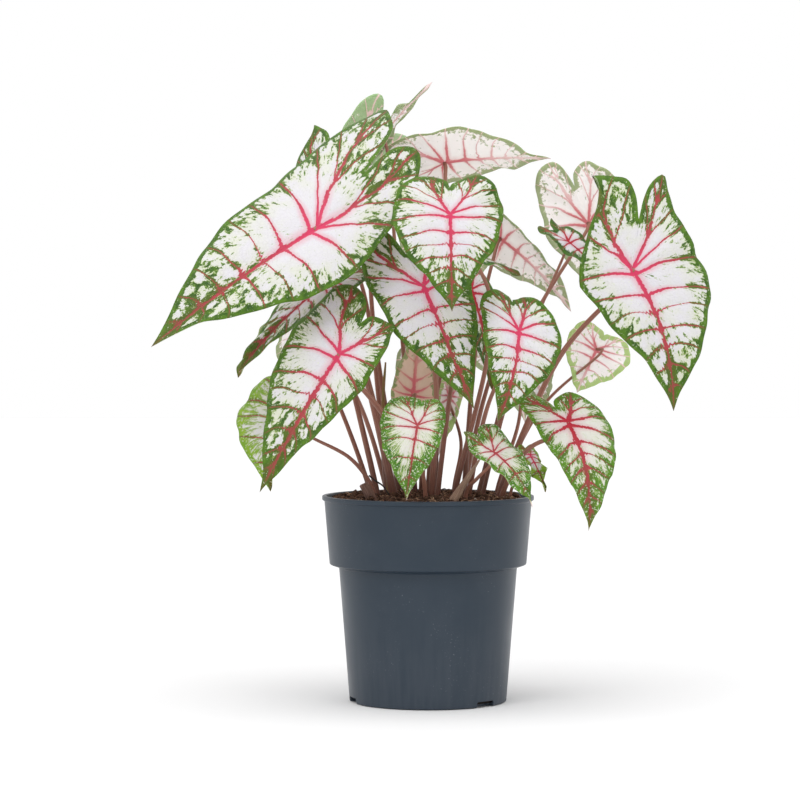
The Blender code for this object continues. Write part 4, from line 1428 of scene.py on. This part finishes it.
def mound(x, y):
    """The slow waves of the bed and its rise in the middle, in millimetres."""
    rolls = math.sin(x / ROLLS[0] + ROLL_STARTS[0]) * math.cos(y / ROLLS[1] + ROLL_STARTS[1])
    lumps = math.sin(x / LUMPS_X[0] - y / LUMPS_X[1]) * math.cos(y / LUMPS_Y[1] + x / LUMPS_Y[0])
    middle = MIDDLE_RISE * math.exp(-(x * x + y * y) / MIDDLE_SPREAD)
    return SOIL_MOUND * (ROLL_SHARE * rolls + LUMP_SHARE * lumps) + middle


def clods(x, y, rise, width, layer):
    return rise * noise.noise(Vector((x / width, y / width, layer)))


def bed_height(x, y):
    """The lumpy surface of the bed, in millimetres, level at the wall."""
    fade = min(1.0, max(0.0, (BED_EDGE - math.hypot(x, y)) / EDGE_FADE))
    fine = clods(x, y, *CLODS) + clods(x, y, *SMALL_CLODS)
    return SOIL_TOP + fade * (SOIL_HEAP + mound(x, y) + fine)


def soil_bed():
    """The bed: the solid's sides and floor, and a fine lumpy top."""
    floor, thick = FLOOR + SOIL_GAP, WALL + SOIL_GAP
    side = (
        (0.0, floor), (BASE_RADIUS - WALL - FOOT_ROUND[0], floor),
        (BASE_RADIUS - thick, floor + FOOT_ROUND[1]),
        (STEP_RADIUS - thick, STEP_HEIGHT - STEP_EASE), (COLLAR_RADIUS - thick, STEP_HEIGHT + STEP_EASE),
        (BED_EDGE, SOIL_TOP),
    )
    line = [Vector((x, 0, z)) for x, z in side]
    line += [Vector((BED_EDGE * (1 - k / BED_RINGS), 0, SOIL_TOP)) for k in range(1, BED_RINGS + 1)]
    bed = spin_outline("soil_bed", line, BED_STEPS)
    for point in bed.data.vertices:
        if point.co.z > (SOIL_TOP - SKIN_BELOW) * MM:
            point.co.z = MM * bed_height(point.co.x / MM, point.co.y / MM)
    bed.data.shade_smooth()
    return bed


finish_piece(soil_bed(), "soil", "soil", peat_finish)
heap = bed_height(0, 0) - SOIL_TOP
print("the bed is", round(2 * BED_EDGE), "mm across, heaped by", round(heap, 1), "mm in the middle")

# %% [markdown]
# ## What lies on the bed
# Close up, soil is not a surface but a heap of loose bits. Crumbs, curly fibres and a few white grains
# are strewn over the bed by a rule with a fixed seed, each sunk a little into it. Each kind is one
# mesh of many small closed bodies, which stays light. A scatter of separate objects would do the same
# on a real bench, but hundreds of objects are slow to handle.

# %% Crumbs, fibres and grains
STREW_SEED = 11
STREW_GAP = 3.5
CRUMBS = 620
CRUMB_SIZE = 4.4
CRUMB_SMALLEST = 0.35
CRUMB_WIDTHS = (0.6, 1.0)
CRUMB_HEIGHTS = (0.45, 0.8)
CRUMB_DENTS = (-0.25, 0.2)
CRUMB_LIFT = 0.15
FIBRES = 420
FIBRE_STEPS = 6
FIBRE_SIDES = 4
FIBRE_LENGTHS = (5, 16)
FIBRE_BEND = 1.2
FIBRE_RISE = 1.6
FIBRE_LIFT = 0.2
FIBRE_CLEAR = 1
FIBRE_RADII = (0.18, 0.4)
GRAINS = 26
GRAIN_SIZES = (0.6, 1.2)
ANY_TURN = (0, 6.3)
strew = random.Random(STREW_SEED)


def spot():
    """A random place on the bed, in millimetres."""
    turn = strew.uniform(0, FULL_TURN)
    far = (BED_EDGE - STREW_GAP) * math.sqrt(strew.uniform(0.0, 1.0))
    x, y = far * math.cos(turn), far * math.sin(turn)
    return Vector((x, y, bed_height(x, y)))


def joined(name, shapes):
    """Many small shapes, each a (points, faces) pair, as one object."""
    points, faces = [], []
    for more_points, more_faces in shapes:
        base = len(points)
        points += more_points
        faces += [tuple(base + i for i in face) for face in more_faces]
    return mesh_object(name, points, faces)


def lump(size):
    """A rough crumb: a low sphere pressed flat, turned and dented at random."""
    shape = bmesh.new()
    bmesh.ops.create_icosphere(shape, subdivisions=1, radius=1.0)
    round_up = Matrix.Rotation(strew.uniform(*ANY_TURN), 3, "Z")
    turn = round_up @ Matrix.Rotation(strew.uniform(*ANY_TURN), 3, "X")
    press = Vector((size, size * strew.uniform(*CRUMB_WIDTHS), size * strew.uniform(*CRUMB_HEIGHTS)))
    place = spot() + Vector((0, 0, CRUMB_LIFT * size))
    points = []
    for vert in shape.verts:
        dent = 1 + strew.uniform(*CRUMB_DENTS)
        points.append(turn @ Vector([c * p * dent for c, p in zip(vert.co, press)]) + place)
    faces = [tuple(v.index for v in face.verts) for face in shape.faces]
    shape.free()
    return points, faces


def fibre():
    """A short curly hair of coir lying on the bed, or None where it would meet the wall."""
    here = spot()
    turn = strew.uniform(0, FULL_TURN)
    length = strew.uniform(*FIBRE_LENGTHS)
    bend = strew.uniform(-FIBRE_BEND, FIBRE_BEND)
    path = []
    for k in range(FIBRE_STEPS):
        part = k / (FIBRE_STEPS - 1)
        angle = turn + bend * part
        x = here.x + length * (part - 0.5) * math.cos(angle)
        y = here.y + length * (part - 0.5) * math.sin(angle)
        if math.hypot(x, y) > BED_EDGE - FIBRE_CLEAR:
            return None
        lift = FIBRE_LIFT + FIBRE_RISE * math.sin(math.pi * part) * abs(bend)
        path.append(Vector((x, y, bed_height(x, y) + lift)))
    return tube(path, [strew.uniform(*FIBRE_RADII)] * FIBRE_STEPS, FIBRE_SIDES)


crumbs = [lump(CRUMB_SIZE * strew.uniform(CRUMB_SMALLEST, 1.0) ** 2) for _ in range(CRUMBS)]
fibres = [hair for hair in (fibre() for _ in range(FIBRES)) if hair]
grains = [lump(strew.uniform(*GRAIN_SIZES)) for _ in range(GRAINS)]
finish_piece(joined("soil_crumbs", crumbs), "soil", "soil", crumb_finish)
finish_piece(joined("soil_fibres", fibres), "soil", "soil", fibre_finish)
finish_piece(joined("soil_grains", grains), "soil", "soil", grain_finish)
print("strewn:", len(crumbs), "crumbs,", len(fibres), "fibres and", len(grains), "grains")

# %% [markdown]
# ## The dry bits
# An old stalk has been cut short at the left of the clump, and a dead bract has dried to brown paper
# in front of it, with its thin dry stalk. A young leaf is still rolled tight. Each is a tube along the
# solid's own line, with shallow flutes and a ragged surface, and a streaked finish of two colours.

# %% A ragged rod and its skin
SKIN_WAVES = 7.0
SKIN_STRETCH = (1.0, 1.0, 0.12)
SPOT_WAVES = 6.0
SKIN_BUMP = 0.5
ROD_SHARE = 0.92
FLUTE_DEPTH = 0.12
FLUTE_TWIST = 0.35
WRINKLE_DEPTH = 0.08
WRINKLE_WAVES = 400
THINNEST = 0.5


def dead_skin(name, dark, light):
    finish = Finish(name, roughness=0.8, specular=0.25)
    grain = finish.attribute("grain", "Vector")
    streaks = finish.clouds(finish.stretched(grain, SKIN_STRETCH), SKIN_WAVES, detail=5.0, rough=0.65)
    spots = finish.clouds(grain, SPOT_WAVES, detail=3.0)
    body = finish.blend(finish.ramp(streaks, *TIGHT_SPAN), dark, light)
    finish.colour(finish.blend(finish.ramp(spots, 0.6, 0.75, 0.0, 0.6), body, dark))
    finish.bumps(streaks, SKIN_BUMP)
    return finish.material


def ragged_rod(name, path, radii, steps, sides, flutes):
    """A tube along the solid's line with this many shallow flutes round it."""
    route = smooth_curve([Vector(p) for p in path], steps)
    widths = [max(v.x, THINNEST) for v in smooth_curve([Vector((r, 0, 0)) for r in radii], steps)]
    piece = fine_tube(name, route, widths, sides)
    for k, point in enumerate(piece.data.vertices):
        step, side = divmod(k, sides)
        middle = route[step] * MM
        flute = FLUTE_DEPTH * math.sin(flutes * (FULL_TURN * side / sides) + FLUTE_TWIST * step)
        wrinkle = flute + WRINKLE_DEPTH * noise.noise(point.co * WRINKLE_WAVES)
        point.co = middle + (point.co - middle) * (ROD_SHARE + wrinkle)
    return piece


print("a flute is", round(100 * FLUTE_DEPTH), "% of the rod's radius deep")

# %% [markdown]
# The four bits differ only in their line, their radii, how finely they are cut, and their colours, so
# each is one row of a short list.

# %% The dry bits and the rolled leaf
BITS = {
    "black_twig_piece": dict(
        path=((-47, -40, 183), (-42, -42, 179), (-36, -44, 175), (-31, -45, 168)),
        radii=(0.6, 0.8, 0.8, 0.6), steps=16, sides=8, flutes=2,
    ),
    "cut_stub_piece": dict(
        path=((-35, -46, 140), (-42, -48, 158), (-51, -50, 177)),
        radii=(5.0, 4.8, 4.0), steps=18, sides=20, flutes=5,
    ),
    "dry_sheath_piece": dict(
        path=((2, -62, 140), (16, -58, 158), (28, -54, 178), (40, -52, 196)),
        radii=(1.6, 4.2, 2.4, 0.8), steps=40, sides=18, flutes=3,
    ),
    "rolled_leaf_piece": dict(
        path=((-28, -6, 140), (-32, -8, 190), (-36, -12, 236), (-34, -16, 272)),
        radii=(2.0, 2.2, 3.2, 0.7), steps=50, sides=16, flutes=2,
    ),
}
# For each bit: the solid and the slot that it stands for, its finish, and the dark and light colour.
BIT_FINISHES = {
    "black_twig_piece": (
        "cut_stub", "dry_brown", "black_twig", (0.012, 0.010, 0.010), (0.035, 0.028, 0.025),
    ),
    "cut_stub_piece": ("cut_stub", "dry_brown", "dead_stalk", (0.085, 0.045, 0.035), (0.23, 0.135, 0.10)),
    "dry_sheath_piece": ("dry_sheath", "dry_paper", "dry_paper", (0.20, 0.12, 0.085), (0.42, 0.29, 0.21)),
    "rolled_leaf_piece": (
        "young_rolled_leaf", "young_leaf", "rolled_leaf", (0.17, 0.20, 0.055), (0.38, 0.15, 0.095),
    ),
}
for name, form in BITS.items():
    node, slot, skin, dark, light = BIT_FINISHES[name]
    finish_piece(ragged_rod(name, **form), node, slot, dead_skin(skin, dark, light))
print("dry bits:", ", ".join(BITS))

# %% [markdown]
# ## The floor
# The plant stands on a plain pale floor. It is very large, so that its far edge lies behind the
# horizon of the picture, and its white is chosen to meet the white room without a seam.

# %% Floor
FLOOR_SIZE = 12.0
FLOOR_BELOW = 0.0004
FLOOR_WHITE = (0.735, 0.735, 0.738)
deselect_all()
bpy.ops.mesh.primitive_plane_add(size=FLOOR_SIZE, location=(0, 0, -FLOOR_BELOW))
floor = bpy.context.object
floor.name = "studio_floor"
floor_finish = Finish("studio_floor", roughness=0.9, specular=0.1)
floor_finish.colour(FLOOR_WHITE)
floor.data.materials.append(floor_finish.material)
print("floor:", FLOOR_SIZE, "m square")

# %% [markdown]
# ## The light
# Most light comes softly from above, from a white room and from a sun lamp as wide as a lit ceiling.
# It lays a wide faint shadow round the pot. Two broad lamps in front lift the faces of the leaves, the
# stronger one at the left.

# %% Lights
LAMP_AIM = (0.0, 0.0, 0.28)
# Each lamp: its place and its width in metres, and its strength in watts.
LAMPS = {
    "key_lamp": ((-1.5, -2.0, 2.1), 1.6, 14.0),
    "fill_lamp": ((1.9, -1.7, 1.2), 1.8, 6.0),
}
TOP_LIGHT = 1.4
TOP_SOFTNESS = 70
TOP_LEAN = (12, -5, 0)
ROOM_WHITE = (1.0, 1.0, 1.0)
ROOM_LIGHT = 1.0
for name, (place, width, watts) in LAMPS.items():
    lamp = bpy.data.lights.new(name, "AREA")
    lamp.shape = "DISK"
    lamp.size = width
    lamp.energy = watts
    holder = linked_object(name, lamp)
    holder.location = place
    holder.rotation_euler = (Vector(LAMP_AIM) - Vector(place)).to_track_quat("-Z", "Y").to_euler()
top = bpy.data.lights.new("top_light", "SUN")
top.energy = TOP_LIGHT
top.angle = math.radians(TOP_SOFTNESS)
linked_object("top_light", top).rotation_euler = [math.radians(a) for a in TOP_LEAN]
world = bpy.data.worlds.new("studio")
world.use_nodes = True
background = world.node_tree.nodes["Background"]
background.inputs["Color"].default_value = with_alpha(ROOM_WHITE)
background.inputs["Strength"].default_value = ROOM_LIGHT
bpy.context.scene.world = world
bpy.context.scene.view_settings.view_transform = "Standard"
print("lamps:", ", ".join(LAMPS), "and", top.name)

# %% [markdown]
# ## The camera
# The photo was taken from a little above the middle of the plant, from some way off and with a long
# lens, so lines hardly run together. The lens is worked out from the picture: a focal length in
# pixels, times the sensor's width, over the picture's width in pixels.

# %% Camera
IMAGE_SIDE = 800
FOCAL_PIXELS = 3119
SENSOR_WIDTH = 36.0
CAMERA_AWAY = 2.5
CAMERA_PLACE = (-0.0225, -CAMERA_AWAY, 0.320)
CAMERA_DROP = 0.0786
camera_data = bpy.data.cameras.new("photo_camera")
camera_data.sensor_width = SENSOR_WIDTH
camera_data.lens = SENSOR_WIDTH * FOCAL_PIXELS / IMAGE_SIDE
camera = linked_object("photo_camera", camera_data)
camera.location = CAMERA_PLACE
camera.rotation_euler = (math.pi / 2 - math.atan(CAMERA_DROP / CAMERA_AWAY), 0, 0)
bpy.context.scene.camera = camera
print("lens:", round(camera_data.lens), "mm")

# %% [markdown]
# ## The end
# Last, nothing is left selected. The dressed plant has to stay inside the solid model's box.

# %% Leave nothing selected
deselect_all()
